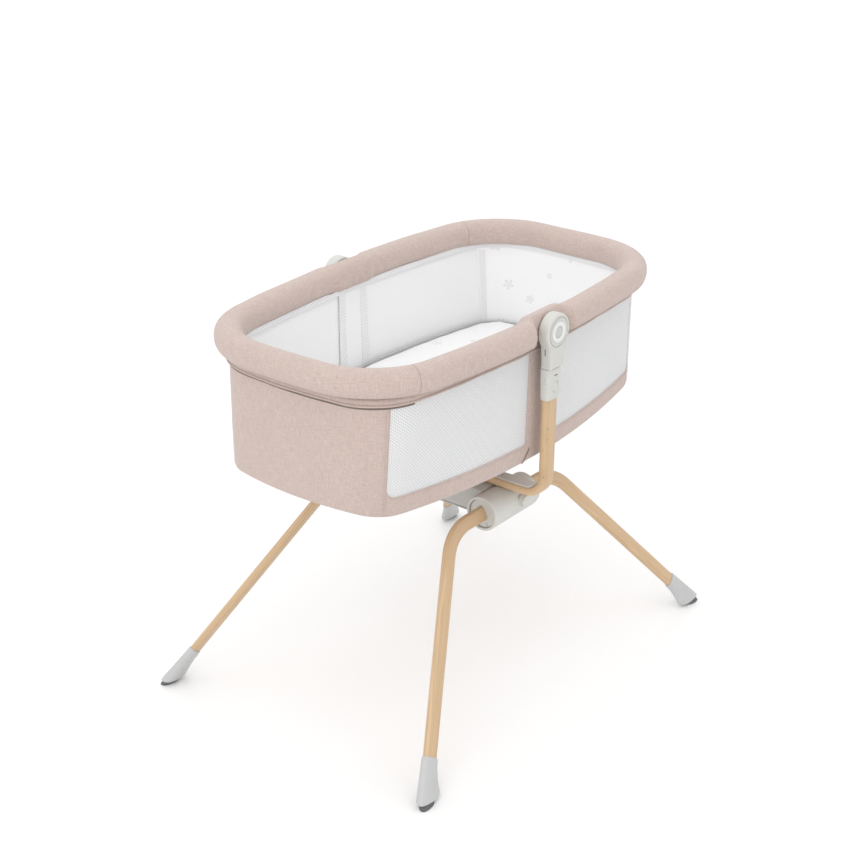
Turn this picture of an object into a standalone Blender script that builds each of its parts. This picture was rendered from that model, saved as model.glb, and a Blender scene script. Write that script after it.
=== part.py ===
import bpy
import bmesh
import math
from mathutils import Vector, Matrix

for old in list(bpy.data.objects):
    bpy.data.objects.remove(old, do_unlink=True)

# sizes (metres)
# flat-oval steel tube of the upright frame
tubeWide = 0.033
tubeThick = 0.0155
tubeWall = 0.0015
# lighter flat-oval tube of the legs
legWide = 0.0270
legThick = 0.0125
legWall = 0.0013

# leg arches
axisOut = 0.138          # hinge axis, distance from the middle
axisHigh = 0.335         # hinge axis, height
footAlong = 0.4203       # leg centre line at the floor, distance along the bassinet
footOut = 0.2962         # leg centre line at the floor, distance across
legLean = 0.2713         # how far a leg travels along the bassinet from its bend corner
legBend = 0.085          # bend radius on the tube centre line

# barrel housings with the turning drums
barrelRadius = 0.032
barrelWall = 0.0048
barrelHalf = 0.064
drumHalf = 0.0600
drumPlay = 0.0005        # between drum and barrel bore
socketDeep = 0.044
socketPlay = 0.0003      # between a tube and whatever it is pushed into

# upright frame
uprightFoot = 0.2268     # upright, distance across where it meets the run
uprightLean = 0.010      # outward drift per metre of height
runSeat = 0.00025        # between the barrels and the run across
runHigh = axisHigh + barrelRadius + runSeat + tubeThick / 2
uBend = 0.036

# collars and hubs
hubBelowRim = 0.0045     # the hub axis is a little lower than the rim
neckLong = 0.0645        # from the parting line up to the hub axis
sleeveHigh = 0.056
tubeBelowParting = 0.005
hubRadius = 0.0315
hubOuterFace = 0.2440
hubThick = 0.0204
neckHalf = tubeWide / 2 + 0.0025
neckLean = 0.035          # the neck runs inwards as it goes down
lidGap = 0.0006          # between lower sleeve and upper collar

# basket
rimHalfLong = 0.394
rimHalfWide = 0.2185
rimSideRadius = 2.09
rimEndRadius = 1.84
rimCorner = 0.136
rimHigh = 0.681
rollHalfHigh = 0.024
rollHalfThick = 0.025
frameRadius = 0.0065
hubJog = 0.006           # how far the rim steps inwards behind a hub
hubPinch = 0.0094        # outer half thickness of the roll behind a hub
rollSeat = 0.0008        # between the roll and the top of the walls
wallHalfLong = 0.389
topHalfWide = 0.207
lowHalfWide = 0.204
floorEdge = 0.440        # lowest line of the basket in the middle
floorRise = 0.014        # and how much higher it is at the ends
bandHigh = 0.034
panelThick = 0.0030
linerThick = 0.0020
boardHigh = 0.4625
boardThick = 0.0060
mattressThick = 0.0390
gap = 0.0003

# heights that follow from the sizes above
wallTop = rimHigh - rollHalfHigh - rollSeat
hubHigh = rimHigh - hubBelowRim
partingHigh = hubHigh - neckLong
sleeveLow = partingHigh - sleeveHigh
uprightTop = partingHigh - tubeBelowParting

# helpers
looks = {}


def look(name, colour, roughness, metallic=0.0):
    if name in looks:
        return looks[name]
    m = bpy.data.materials.new(name)
    m.use_nodes = True
    b = m.node_tree.nodes["Principled BSDF"]
    b.inputs["Base Color"].default_value = (*colour, 1.0)
    b.inputs["Roughness"].default_value = roughness
    b.inputs["Metallic"].default_value = metallic
    m.diffuse_color = (*colour, 1.0)
    looks[name] = m
    return m


def meshFrom(name, verts, faces):
    bm = bmesh.new()
    vs = [bm.verts.new(v) for v in verts]
    for f in faces:
        bm.faces.new([vs[i] for i in f])
    bmesh.ops.recalc_face_normals(bm, faces=bm.faces)
    if bm.calc_volume(signed=True) < 0:
        bmesh.ops.reverse_faces(bm, faces=bm.faces)
    me = bpy.data.meshes.new(name)
    bm.to_mesh(me)
    bm.free()
    return me


def loft(name, rings, close="cap"):
    """rings: equal-length closed loops; close is cap (solid ends) or loop (last joins first)"""
    n = len(rings[0])
    verts = [p for r in rings for p in r]
    faces = []
    last = len(rings) if close == "loop" else len(rings) - 1
    for k in range(last):
        a = k * n
        b = ((k + 1) % len(rings)) * n
        for i in range(n):
            j = (i + 1) % n
            faces.append((a + i, a + j, b + j, b + i))
    if close == "cap":
        faces.append(tuple(range(n)))
        faces.append(tuple((len(rings) - 1) * n + i for i in range(n)))
    return meshFrom(name, verts, faces)


def put(name, me, mat, origin=(0, 0, 0), parent=None, smooth=30):
    """world-space mesh -> object whose origin is at the given point"""
    o = Vector(origin)
    if o.length > 0 and not me.get("shifted"):
        me.transform(Matrix.Translation(-o))
        me["shifted"] = 1
    ob = bpy.data.objects.new(name, me)
    bpy.context.scene.collection.objects.link(ob)
    ob.location = o
    if not me.materials:
        me.materials.append(mat)
    if smooth:
        me.shade_smooth()
        me.set_sharp_from_angle(angle=math.radians(smooth))
    if parent:
        ob.parent = parent
        ob.matrix_parent_inverse = Matrix.Translation(-parent.location)
    return ob


def pivot(name, at):
    e = bpy.data.objects.new(name, None)
    bpy.context.scene.collection.objects.link(e)
    e.location = at
    e.empty_display_size = 0.02
    return e


def cut(ob, tool, how="DIFFERENCE"):
    """boolean with a mesh given in the same space as the object's own mesh"""
    t = bpy.data.objects.new("cutter", tool)
    bpy.context.scene.collection.objects.link(t)
    t.location = ob.location
    t.hide_render = True
    t.display_type = "WIRE"
    mod = ob.modifiers.new("cut", "BOOLEAN")
    mod.operation = how
    mod.solver = "EXACT"
    mod.object = t
    bpy.context.view_layer.update()
    dg = bpy.context.evaluated_depsgraph_get()
    me = bpy.data.meshes.new_from_object(ob.evaluated_get(dg))
    me.name = ob.name
    ob.modifiers.clear()
    old = ob.data
    ob.data = me
    bpy.data.meshes.remove(old)
    bpy.data.objects.remove(t, do_unlink=True)
    me.shade_smooth()
    me.set_sharp_from_angle(angle=math.radians(30))
    return ob


def frameOf(axis):
    """two unit vectors across the axis"""
    d = Vector(axis).normalized()
    s = Vector((0, 0, 1)) if abs(d.z) < 0.9 else Vector((1, 0, 0))
    u = s.cross(d).normalized()
    return u, d.cross(u)


def disc(centre, axis, radius, count=32, turn=0.0, squash=(1.0, 1.0)):
    u, v = frameOf(axis)
    c = Vector(centre)
    out = []
    for i in range(count):
        t = turn + 2 * math.pi * i / count
        out.append(c + u * radius * squash[0] * math.cos(t) + v * radius * squash[1] * math.sin(t))
    return out


def turned(name, base, axis, steps, count=32, squash=(1.0, 1.0)):
    """solid of revolution: steps are (distance along the axis, radius)"""
    d = Vector(axis).normalized()
    rings = [disc(Vector(base) + d * s, d, r, count, 0.0, squash) for s, r in steps]
    return loft(name, rings)


def block(name, low, high, chamfer=0.0):
    bm = bmesh.new()
    bmesh.ops.create_cube(bm, size=1.0)
    size = [high[i] - low[i] for i in range(3)]
    mid = [(high[i] + low[i]) / 2 for i in range(3)]
    bmesh.ops.scale(bm, vec=size, verts=bm.verts)
    bmesh.ops.translate(bm, vec=mid, verts=bm.verts)
    if chamfer > 0:
        bmesh.ops.bevel(bm, geom=list(bm.edges), offset=chamfer, segments=2, affect="EDGES", profile=0.5)
    me = bpy.data.meshes.new(name)
    bm.to_mesh(me)
    bm.free()
    return me


flatAngles = [math.radians(a) for a in (-84, -60, -36, -12, 12, 36, 60, 84, 96, 120, 144, 168, 192, 216,
                                        240, 264)]


def flatOval(centre, along, across, wide, thick):
    """flat-sided tube outline: half-round ends of the thickness, straight between"""
    a = Vector(along)
    b = Vector(across)
    c = Vector(centre)
    r = thick / 2
    out = []
    for k, t in enumerate(flatAngles):
        # the four points beside the straights sit exactly on the tangent points
        if k == 0:
            t = -math.pi / 2
        if k == 7 or k == 8:
            t = math.pi / 2
        if k == 15:
            t = -math.pi / 2
        side = 1 if k < 8 else -1
        out.append(c + a * (side * (wide / 2 - r) + r * math.cos(t) * (1 if k not in (0, 7, 8, 15) else 0))
                   + b * r * math.sin(t))
    return out


def roundedOval(centre, along, across, wide, thick, power=4.0):
    a = Vector(along)
    b = Vector(across)
    c = Vector(centre)
    out = []
    for t in flatAngles:
        x = math.copysign(abs(math.cos(t)) ** (2 / power), math.cos(t)) * wide / 2
        y = math.copysign(abs(math.sin(t)) ** (2 / power), math.sin(t)) * thick / 2
        out.append(c + a * x + b * y)
    return out


def fullOval(halfLong, halfWide, sideRadius, endRadius, corner, counts=(5, 5, 7)):
    """plan outline of bowed sides, bowed ends and round corners, anticlockwise from +X;
    gives (x, y, outward normal x, outward normal y) and the index of each corner/side joint"""
    c1 = Vector((0, halfWide - sideRadius))
    c2 = Vector((halfLong - endRadius, 0))
    r1 = sideRadius - corner
    r2 = endRadius - corner
    d = (c2 - c1).length
    a = (r1 * r1 - r2 * r2 + d * d) / (2 * d)
    h = math.sqrt(max(r1 * r1 - a * a, 0.0))
    e = (c2 - c1) / d
    c = c1 + e * a + Vector((-e.y, e.x)) * h
    if c.x < 0 or c.y < 0:
        c = c1 + e * a - Vector((-e.y, e.x)) * h
    aEnd = math.atan2(c.y - c2.y, c.x - c2.x)
    aSide = math.atan2(c.y - c1.y, c.x - c1.x)
    quarter = []
    for i in range(counts[0]):
        t = aEnd * i / counts[0]
        quarter.append((c2, endRadius, t))
    for i in range(counts[1]):
        t = aEnd + (aSide - aEnd) * i / counts[1]
        quarter.append((c, corner, t))
    for i in range(counts[2]):
        # even spacing along x on the side, ending in the middle of the side
        t = aSide + (math.pi / 2 - aSide) * i / counts[2]
        quarter.append((c1, sideRadius, t))
    q = [(k.x + r * math.cos(t), k.y + r * math.sin(t), math.cos(t), math.sin(t)) for k, r, t in quarter]
    mid = (0.0, halfWide, 0.0, 1.0)
    second = [(-x, y, -nx, ny) for x, y, nx, ny in reversed(q[1:])]
    top = q + [mid] + second
    low = [(x, -y, nx, -ny) for x, y, nx, ny in reversed(top)]
    end = (-halfLong, 0.0, -1.0, 0.0)
    return top + [end] + low[:-1]


sideStart = 10                      # index where the corner ends and the long side starts
quarterCount = 17
loopCount = 4 * quarterCount


def ease(x, low, high):
    t = min(max((x - low) / (high - low), 0.0), 1.0)
    return t * t * (3 - 2 * t)


# looks
lightGrey = look("warm_grey_plastic", (0.66, 0.655, 0.62), 0.45)
paleRing = look("white_plastic", (0.86, 0.87, 0.86), 0.4)
buttonGrey = look("button_grey_plastic", (0.56, 0.55, 0.53), 0.5)
bridgeGrey = look("bridge_grey_plastic", (0.50, 0.49, 0.47), 0.55)
footGrey = look("foot_grey_plastic", (0.58, 0.58, 0.57), 0.5)
padGrey = look("pad_grey_rubber", (0.22, 0.22, 0.225), 0.85)
oak = look("oak_print_tube", (0.62, 0.43, 0.25), 0.5)
steel = look("zinc_steel", (0.55, 0.55, 0.56), 0.35, 1.0)
blush = look("blush_linen", (0.67, 0.54, 0.49), 0.9)
meshWhite = look("air_mesh_white", (0.80, 0.81, 0.82), 0.85)
linerWhite = look("liner_white", (0.84, 0.84, 0.84), 0.9)
boardGrey = look("floor_board_fibre", (0.45, 0.36, 0.27), 0.8)
frameWhite = look("rim_frame_steel", (0.75, 0.75, 0.76), 0.4, 0.6)

ex = Vector((1, 0, 0))

# upright frame
uDown = Vector((0, uprightLean, 1)).normalized()          # up the right-hand upright
uTurn = math.acos(uDown.dot(Vector((0, 1, 0))))           # turn at the bend
uTangent = uBend * math.tan(uTurn / 2)
uCorner = Vector((0, uprightFoot, runHigh))


def halfRun(steps=7):
    """centre line of half the frame with the inward normal: middle of the run to upright top"""
    out = [(Vector((0, 0, runHigh)), Vector((0, 0, 1)))]
    start = uCorner - Vector((0, uTangent, 0))
    centre = start + Vector((0, 0, uBend))
    for i in range(steps + 1):
        t = uTurn * i / steps
        n = Vector((0, -math.sin(t), math.cos(t)))
        out.append((centre - n * uBend, n))
    n = out[-1][1]
    topY = uprightFoot + uprightLean * (uprightTop - runHigh)
    out.append((Vector((0, topY, uprightTop)), n))
    return out


def mirrorY(v):
    return Vector((v.x, -v.y, v.z))


right = halfRun()
whole = [(mirrorY(p), mirrorY(n)) for p, n in reversed(right[1:])] + right


def tubeRings(path, wide, thick):
    return [flatOval(p, ex, n, wide, thick) for p, n in path]


outer = tubeRings(whole, tubeWide, tubeThick)
inner = tubeRings(whole, tubeWide - 2 * tubeWall, tubeThick - 2 * tubeWall)
uFrame = put("upright_frame_tube", loft("upright_frame_tube", outer + inner[::-1], "loop"), oak)

saddleScrewY = axisOut
screwHole = 0.0027
for sy in (-1, 1):
    hole = turned("hole", (0, sy * saddleScrewY, runHigh - 0.012), (0, 0, 1),
                  [(0, screwHole), (0.024, screwHole)], 16)
    cut(uFrame, hole)

buttonBelowParting = 0.0330
buttonHigh = partingHigh - buttonBelowParting
buttonY = uprightFoot + uprightLean * (buttonHigh - runHigh)
stemRadius = 0.0032
for sy in (-1, 1):
    hole = turned("hole", (0, sy * (buttonY - 0.001), buttonHigh), (0, sy, 0),
                  [(0, stemRadius + 0.0006), (0.012, stemRadius + 0.0006)], 16)
    cut(uFrame, hole)

# saddle cover on the run
coverThick = 0.0024
coverHalf = 0.0125


def saddlePath():
    keep = [(p, n) for p, n in right[1:5]]
    return [(mirrorY(p), mirrorY(n)) for p, n in reversed(keep)] + keep


saddleRings = []
for p, n in saddlePath():
    low = p + n * (tubeThick / 2 + gap)
    high = low + n * coverThick
    saddleRings.append([low - ex * coverHalf, low + ex * coverHalf,
                        low + ex * coverHalf + n * coverThick * 0.55, high + ex * (coverHalf - 0.0012),
                        high - ex * (coverHalf - 0.0012), low - ex * coverHalf + n * coverThick * 0.55])
saddle = put("saddle_cover", loft("saddle_cover", saddleRings), lightGrey)
for sy in (-1, 1):
    hole = turned("hole", (0, sy * saddleScrewY, runHigh), (0, 0, 1), [(0, screwHole), (0.02, screwHole)], 16)
    cut(saddle, hole)

# barrels, bridge, cover
barrelBore = barrelRadius - barrelWall
fScrewEnd = axisHigh + barrelBore + 0.0008
pillX = 0.030
pillHalf = 0.0255
pillRadius = 0.0100
pillHigh = axisHigh + 0.006
pillFace = axisOut + barrelRadius + 0.0085
bossFace = axisOut + barrelRadius + 0.0030


def pillRing(y, grow=0.0, count=20):
    out = []
    for i in range(count):
        t = 2 * math.pi * i / count + math.pi / count
        side = 1 if math.cos(t) > 0 else -1
        out.append(Vector((pillX + side * (pillHalf - pillRadius) + (pillRadius + grow) * math.cos(t), y,
                           pillHigh + (pillRadius + grow) * math.sin(t))))
    return out


def barrelMesh():
    a = Vector((0, -axisOut, axisHigh))
    x = Vector((barrelHalf, 0, 0))
    soft = Vector((0.0015, 0, 0))
    rings = [disc(a - x, ex, barrelRadius - 0.0012, 36), disc(a - x + soft, ex, barrelRadius, 36),
             disc(a + x - soft, ex, barrelRadius, 36), disc(a + x, ex, barrelRadius - 0.0012, 36),
             disc(a + x, ex, barrelBore, 36), disc(a - x, ex, barrelBore, 36)]
    return loft("barrel", rings, "loop")


barrel = put("front_barrel", barrelMesh(), lightGrey, (0, -axisOut, axisHigh))
shift = Matrix.Translation((0, axisOut, -axisHigh))


def local(me):
    me.transform(shift)
    return me


boss = loft("boss", [pillRing(-bossFace, 0.0016), pillRing(-bossFace + 0.001, 0.0024),
                     pillRing(-axisOut - barrelBore - 0.0023, 0.0024)])
cut(barrel, local(boss), "UNION")
pocket = loft("pocket", [pillRing(-bossFace - 0.01, 0.0006), pillRing(-bossFace + 0.0040, 0.0006)])
cut(barrel, local(pocket))
stemHole = turned("hole", (pillX, -axisOut - barrelBore + 0.0007, pillHigh), (0, -1, 0),
                  [(0, 0.0036), (0.012, 0.0036)], 16)
cut(barrel, local(stemHole))
topHole = turned("hole", (0, -axisOut, axisHigh + barrelBore - 0.0072), (0, 0, 1),
                 [(0, screwHole - 0.0002), (0.02, screwHole - 0.0002)], 16)
cut(barrel, local(topHole))
backBarrel = put("back_barrel", barrel.data, lightGrey)
backBarrel.location = (0, axisOut, axisHigh)
backBarrel.rotation_euler = (0, 0, math.pi)

bridgeHalf = 0.044
bridgeReach = 0.1220
bridgeLow = 0.3230
bridgeTop = runHigh - tubeThick / 2 - gap
bridge = put("bridge_body", block("bridge_body", (-bridgeHalf, -bridgeReach, bridgeLow),
                                  (bridgeHalf, bridgeReach, bridgeTop), 0.003),
             bridgeGrey)
for sy in (-1, 1):
    c = Vector((-0.1, sy * axisOut, axisHigh))
    cut(bridge, turned("saddle", c, ex, [(0, barrelRadius + gap), (0.2, barrelRadius + gap)], 64))
bridgeWall = 0.0035
pocketIn = block("pocket", (-bridgeHalf + bridgeWall, -0.099, bridgeLow - 0.01),
                 (bridgeHalf - bridgeWall, 0.099, bridgeTop - 0.0045))
cut(bridge, pocketIn)

plateThick = 0.0026
plate = put("bridge_bottom_plate",
            block("bridge_bottom_plate", (-bridgeHalf + 0.0006, -0.1010, bridgeLow - gap - plateThick),
                  (bridgeHalf - 0.0006, 0.1010, bridgeLow - gap), 0.0006), bridgeGrey)


def screwMesh(name, head, axis, headRadius, headHigh, shankRadius, length, count=14):
    """head sits on the surface point and the shank runs back along -axis"""
    steps = [(headHigh, headRadius * 0.55), (headHigh * 0.55, headRadius * 0.92), (0.0002, headRadius),
             (0.0001, shankRadius), (-length, shankRadius)]
    return turned(name, head, axis, steps, count)


coverTop = runHigh + tubeThick / 2 + gap + coverThick
screwSeat = (0, -saddleScrewY, coverTop + gap)
saddleScrewMesh = screwMesh("saddle_screw", screwSeat, (0, 0, 1), 0.0046, 0.0022, 0.0022, coverTop - fScrewEnd)
saddleScrew = put("front_saddle_screw", saddleScrewMesh, steel, (0, -saddleScrewY, coverTop))
backScrew = put("back_saddle_screw", saddleScrew.data, steel, smooth=0)
backScrew.location = (0, saddleScrewY, coverTop)

fold = loft("front_fold_button", [pillRing(-pillFace, -0.0022), pillRing(-pillFace + 0.0009, -0.0007),
                                  pillRing(-pillFace + 0.0024, 0.0), pillRing(-bossFace + 0.0009, 0.0)])
foldButton = put("front_fold_button", fold, paleRing, (pillX, -pillFace, pillHigh))
stem = turned("stem", (0, pillFace - bossFace, 0), (0, 1, 0), [(0, 0.0031), (0.0048, 0.0031)], 16)
cut(foldButton, stem, "UNION")
backFold = put("back_fold_button", foldButton.data, paleRing)
backFold.location = (-pillX, pillFace, pillHigh)
backFold.rotation_euler = (0, 0, math.pi)

# leg arches (front one, then turned copies)
slope = Vector((0, -(footOut - axisOut), -axisHigh))
slopeLong = slope.length
es = slope.normalized()                     # down the arch
en = ex.cross(es)                           # across the arch
hinge = Vector((0, -axisOut, axisHigh))
frontPivot = pivot("front_legs_pivot", hinge)
backPivot = pivot("back_legs_pivot", (0, axisOut, axisHigh))

legAngle = math.atan2(slopeLong, legLean)
bendAt = footAlong - legLean
legTangent = legBend * math.tan(legAngle / 2)
tubeStart = drumHalf - socketDeep + 0.0006
soleHigh = 0.0125                           # leg centre line where the foot sleeve ends
sleeveLong = 0.0630
tubeShort = 0.0100                          # tube end inside the sleeve, short of the sleeve end


def legPath(side, steps=6):
    """points and in-plane normals of one leg, side is -1 for the near end and +1 for the far end"""
    out = [(hinge + ex * side * tubeStart, es * 1.0)]
    start = bendAt - legTangent
    for i in range(steps + 1):
        t = legAngle * i / steps
        x = start + legBend * math.sin(t)
        s = legBend * (1 - math.cos(t))
        n = es * math.cos(t) - ex * side * math.sin(t)
        out.append((hinge + ex * side * x + es * s, n))
    way = (ex * side * math.cos(legAngle) + es * math.sin(legAngle))
    corner = hinge + ex * side * bendAt
    reach = (axisHigh - soleHigh) / (-way.z) - tubeShort
    out.append((corner + way * reach, out[-1][1]))
    return out, way, corner


def legMesh(side):
    path, way, corner = legPath(side)
    o = [flatOval(p, n, en, legWide, legThick) for p, n in path]
    i = [flatOval(p, n, en, legWide - 2 * legWall, legThick - 2 * legWall) for p, n in path]
    return loft("leg_tube", o + i[::-1], "loop")


footSteps = (  # part of the sleeve length, width, thickness, heel on the inner side
    (0.0, 0.0294, 0.0150, 0.0), (0.02, 0.0308, 0.0164, 0.0), (0.22, 0.0316, 0.0172, 0.0006),
    (0.45, 0.0326, 0.0186, 0.0042), (0.70, 0.0336, 0.0204, 0.0098), (0.86, 0.0340, 0.0210, 0.0102),
    (0.97, 0.0342, 0.0212, 0.0074), (1.0, 0.0326, 0.0196, 0.0056))


def soleSlide(p, way, share, level=0.0064):
    """slide a point along the leg towards a nearly level sole"""
    wanted = level + 0.22 * (p.z - level)
    return p + way * ((wanted - p.z) / way.z) * share


def footMesh(side):
    path, way, corner = legPath(side)
    end, n = path[-1]
    sole = end + way * tubeShort
    top = sole - way * sleeveLong
    w = legWide + 2 * socketPlay
    t = legThick + 2 * socketPlay
    rings = [flatOval(end + way * 0.0004, n, en, w, t), flatOval(top, n, en, w, t)]
    for k, wide, thick, heel in footSteps:
        ring = []
        for p in roundedOval((0, 0, 0), n, en, wide, thick, 2.6):
            lean = max(p.dot(n) / (wide / 2), 0.0)
            ring.append(soleSlide(top + way * sleeveLong * k + p + n * heel * lean ** 1.5, way, k * k))
        rings.append(ring)
    return loft("foot_sleeve", rings)


def padMesh(side):
    """rubber block under the sole, standing flat on the floor"""
    path, way, corner = legPath(side)
    end, n = path[-1]
    mid = end + way * tubeShort + n * 0.0030
    rings = [[soleSlide(p, way, 1.0) + way * gap * 1.6 for p in roundedOval(mid, n, en, 0.0265, 0.0165, 2.6)]]
    for z, wide, thick in ((0.0012, 0.0262, 0.0170), (0.0, 0.0246, 0.0156)):
        low = []
        for p in roundedOval(mid, n, en, wide, thick, 2.6):
            q = p + way * ((z - p.z) / way.z)
            low.append(Vector((q.x, q.y, z)))
        rings.append(low)
    return loft("foot_pad", rings)


def turnedCopy(name, source, mat, parent):
    ob = put(name, source.data, mat, smooth=0)
    ob.location = (0, axisOut, axisHigh)
    ob.rotation_euler = (0, 0, math.pi)
    ob.parent = parent
    ob.matrix_parent_inverse = Matrix.Translation(-parent.location)
    return ob


for side, near, far in ((-1, "near", "far"), (1, "far", "near")):
    for piece, maker, mat in (("leg_tube", legMesh, oak), ("foot_sleeve", footMesh, footGrey),
                              ("foot_pad", padMesh, padGrey)):
        first = put("front_" + near + "_" + piece, maker(side), mat, hinge, frontPivot)
        turnedCopy("back_" + far + "_" + piece, first, mat, backPivot)

# drums: long cylinders with a flat-oval socket at each end, round outside
drumRadius = barrelBore - drumPlay


def fineDrum():
    """round drum with the two sockets cut into it"""
    steps = [(-drumHalf, drumRadius - 0.001), (-drumHalf + 0.001, drumRadius), (drumHalf - 0.001, drumRadius),
             (drumHalf, drumRadius - 0.001)]
    ob = put("front_drum", turned("front_drum", hinge, ex, steps, 36), lightGrey, hinge, frontPivot)
    for side in (-1, 1):
        a = ex * side * (drumHalf - socketDeep)
        b = ex * side * (drumHalf + 0.01)
        w = legWide + 2 * socketPlay
        t = legThick + 2 * socketPlay
        tool = loft("socket", [flatOval(a, es, en, w, t), flatOval(b, es, en, w, t)])
        cut(ob, tool)
        holeAt = ex * side * (drumHalf - 0.0080) + es * drumScrewDown
        cut(ob, turned("hole", holeAt, ex * side, [(0, 0.0016), (0.02, 0.0016)], 12))
    return ob


drumScrewDown = 0.0214
drum = fineDrum()
turnedCopy("back_drum", drum, lightGrey, backPivot)
for side, near, far in ((-1, "near", "far"), (1, "far", "near")):
    at = hinge + ex * side * (drumHalf + gap) + es * drumScrewDown
    one = put("front_" + near + "_drum_screw", screwMesh("drum_screw", at, ex * side, 0.0026, 0.0014,
                                                         0.0013, 0.006, 10),
              steel, hinge, frontPivot)
    turnedCopy("back_" + far + "_drum_screw", one, steel, backPivot)

# lower sleeves and release buttons
sleeveSteps = ((sleeveLow, tubeWide + 0.0024, tubeThick + 0.0035),
               (sleeveLow + 0.0015, tubeWide + 0.0034, tubeThick + 0.0047),
               (sleeveLow + 0.020, tubeWide + 0.0040, tubeThick + 0.0071),
               (partingHigh - 0.0008, tubeWide + 0.0050, tubeThick + 0.0085),
               (partingHigh, tubeWide + 0.0044, tubeThick + 0.0079))


def uprightY(z):
    return uprightFoot + uprightLean * (z - runHigh)


def sleeveMesh():
    rings = []
    for z, wide, thick in sleeveSteps:
        rings.append(roundedOval((0, -uprightY(z), z), ex, (0, -1, 0), wide, thick, 3.4))
    for z in (partingHigh, sleeveLow):
        rings.append(flatOval((0, -uprightY(z), z), ex, (0, -1, 0), tubeWide + 2 * socketPlay,
                              tubeThick + 2 * socketPlay))
    return loft("sleeve", rings, "loop")


ovalWide = 0.0082
buttonFace = buttonY + 0.01112 + 0.0004
buttonThick = 0.0014
yBack = (0, 0, math.pi)

sleeve = put("front_lower_sleeve", sleeveMesh(), lightGrey, (0, -uprightY(sleeveLow), sleeveLow))
well = turned("well", Vector((0, -buttonY - 0.002, buttonHigh)) - sleeve.location, (0, -1, 0),
              [(0, 0.0103), (0.03, 0.0103)], 32, (ovalWide / 0.0100, 1.0))
cut(sleeve, well)
backSleeve = put("back_lower_sleeve", sleeve.data, lightGrey)
backSleeve.location = (0, uprightY(sleeveLow), sleeveLow)
backSleeve.rotation_euler = yBack

releaseSteps = [(0.0, 0.0088), (-0.0004, 0.0096), (-0.0008, 0.0098), (-buttonThick, 0.0098)]
release = turned("release", (0, -buttonFace, buttonHigh), (0, -1, 0), releaseSteps, 24,
                 (ovalWide / 0.0100, 1.0))
releaseButton = put("front_release_button", release, lightGrey, (0, -buttonFace, buttonHigh))
cut(releaseButton, turned("stem", (0, buttonThick - 0.0002, 0), (0, 1, 0),
                          [(0, stemRadius), (0.0070, stemRadius)], 16), "UNION")
backRelease = put("back_release_button", releaseButton.data, lightGrey)
backRelease.location = (0, buttonFace, buttonHigh)
backRelease.rotation_euler = yBack

# upper collars with the round hubs
carrier = pivot("basket_carrier", (0, 0, hubHigh))
collarLow = partingHigh + lidGap
hubInnerFace = hubOuterFace - hubThick


def hubOutline(inset, y, count=34):
    """round head running down into the neck, seen along Y"""
    r = hubRadius - inset
    neck = neckHalf - inset
    low = collarLow + inset * 0.3
    out = []
    # neck meets the head on a tangent-like line
    joint = -math.acos(min((neck + 0.006) / r, 1.0))
    n = count - 8
    for i in range(n):
        t = joint + (math.pi - 2 * joint) * i / (n - 1)
        out.append(Vector((r * math.cos(t), y, hubHigh + r * math.sin(t))))
    a = out[-1]
    for k in (0.35, 0.7):
        w = 1 - k
        out.append(Vector((-(neck + 0.006 * w * w), y, a.z + (low - a.z) * k)))
    out.append(Vector((-neck, y, low + 0.002)))
    out.append(Vector((-neck + 0.0005, y, low)))
    out.append(Vector((neck - 0.0005, y, low)))
    out.append(Vector((neck, y, low + 0.002)))
    for k in (0.7, 0.35):
        w = 1 - k
        out.append(Vector((neck + 0.006 * w * w, y, a.z + (low - a.z) * k)))
    return out


def leanIn(ring):
    """follow the slight lean of the upright below the head"""
    return [Vector((p.x, p.y + neckLean * max(hubHigh - 0.02 - p.z, 0.0), p.z)) for p in ring]


collarRings = [hubOutline(0.0035, -hubOuterFace), hubOutline(0.0010, -hubOuterFace + 0.0012),
               hubOutline(0.0, -hubOuterFace + 0.0040), hubOutline(0.0, -hubInnerFace - 0.0030),
               hubOutline(0.0022, -hubInnerFace)]
collar = put("front_upper_collar", loft("collar", [leanIn(r) for r in collarRings]), lightGrey,
             (0, -hubOuterFace, hubHigh), carrier)
toHub = -Vector((0, -hubOuterFace, hubHigh))
spigotPlay = 0.0008       # the arm leans, the basket lifts straight up
spigotLow = partingHigh - 0.0270
spigotRings = []
for z in (spigotLow, spigotLow + 0.002, collarLow + 0.004):
    trim = 0.0010 if z == spigotLow else 0.0
    spigotRings.append(flatOval(Vector((0, -uprightY(z), z)) + toHub, ex, (0, -1, 0),
                                tubeWide - 2 * tubeWall - 2 * spigotPlay - trim,
                                tubeThick - 2 * tubeWall - 2 * spigotPlay - trim))
cut(collar, loft("spigot", spigotRings), "UNION")
ringRadius = 0.0182
ringDeep = 0.0030
keyRadius = 0.0098
pinRadius = 0.0050
cut(collar, turned("seat", (0, ringDeep, 0), (0, -1, 0), [(0, ringRadius + gap),
                                                          (0.02, ringRadius + gap)], 32))
cut(collar, turned("well", (0, 0.0085, 0), (0, -1, 0), [(0, keyRadius - 0.0012),
                                                        (0.02, keyRadius - 0.0012)], 32))
pinBoreEnd = hubThick - 0.0100
cut(collar, turned("bore", (0, pinBoreEnd, 0), (0, 1, 0),
                   [(0, pinRadius + 0.0004), (0.02, pinRadius + 0.0004)], 32))
backCollar = put("back_upper_collar", collar.data, lightGrey)
backCollar.location = (0, hubOuterFace, hubHigh)
backCollar.rotation_euler = yBack
backCollar.parent = carrier
backCollar.matrix_parent_inverse = Matrix.Translation(-carrier.location)


def otherHalf(name, source, parent=None):
    """the same piece turned half round about the middle of the object"""
    b = put(name, source.data, source.data.materials[0], smooth=0)
    at = source.location
    b.location = (-at.x, -at.y, at.z)
    b.rotation_euler = yBack
    if parent:
        b.parent = parent
        b.matrix_parent_inverse = Matrix.Translation(-parent.location)
    return b


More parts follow.
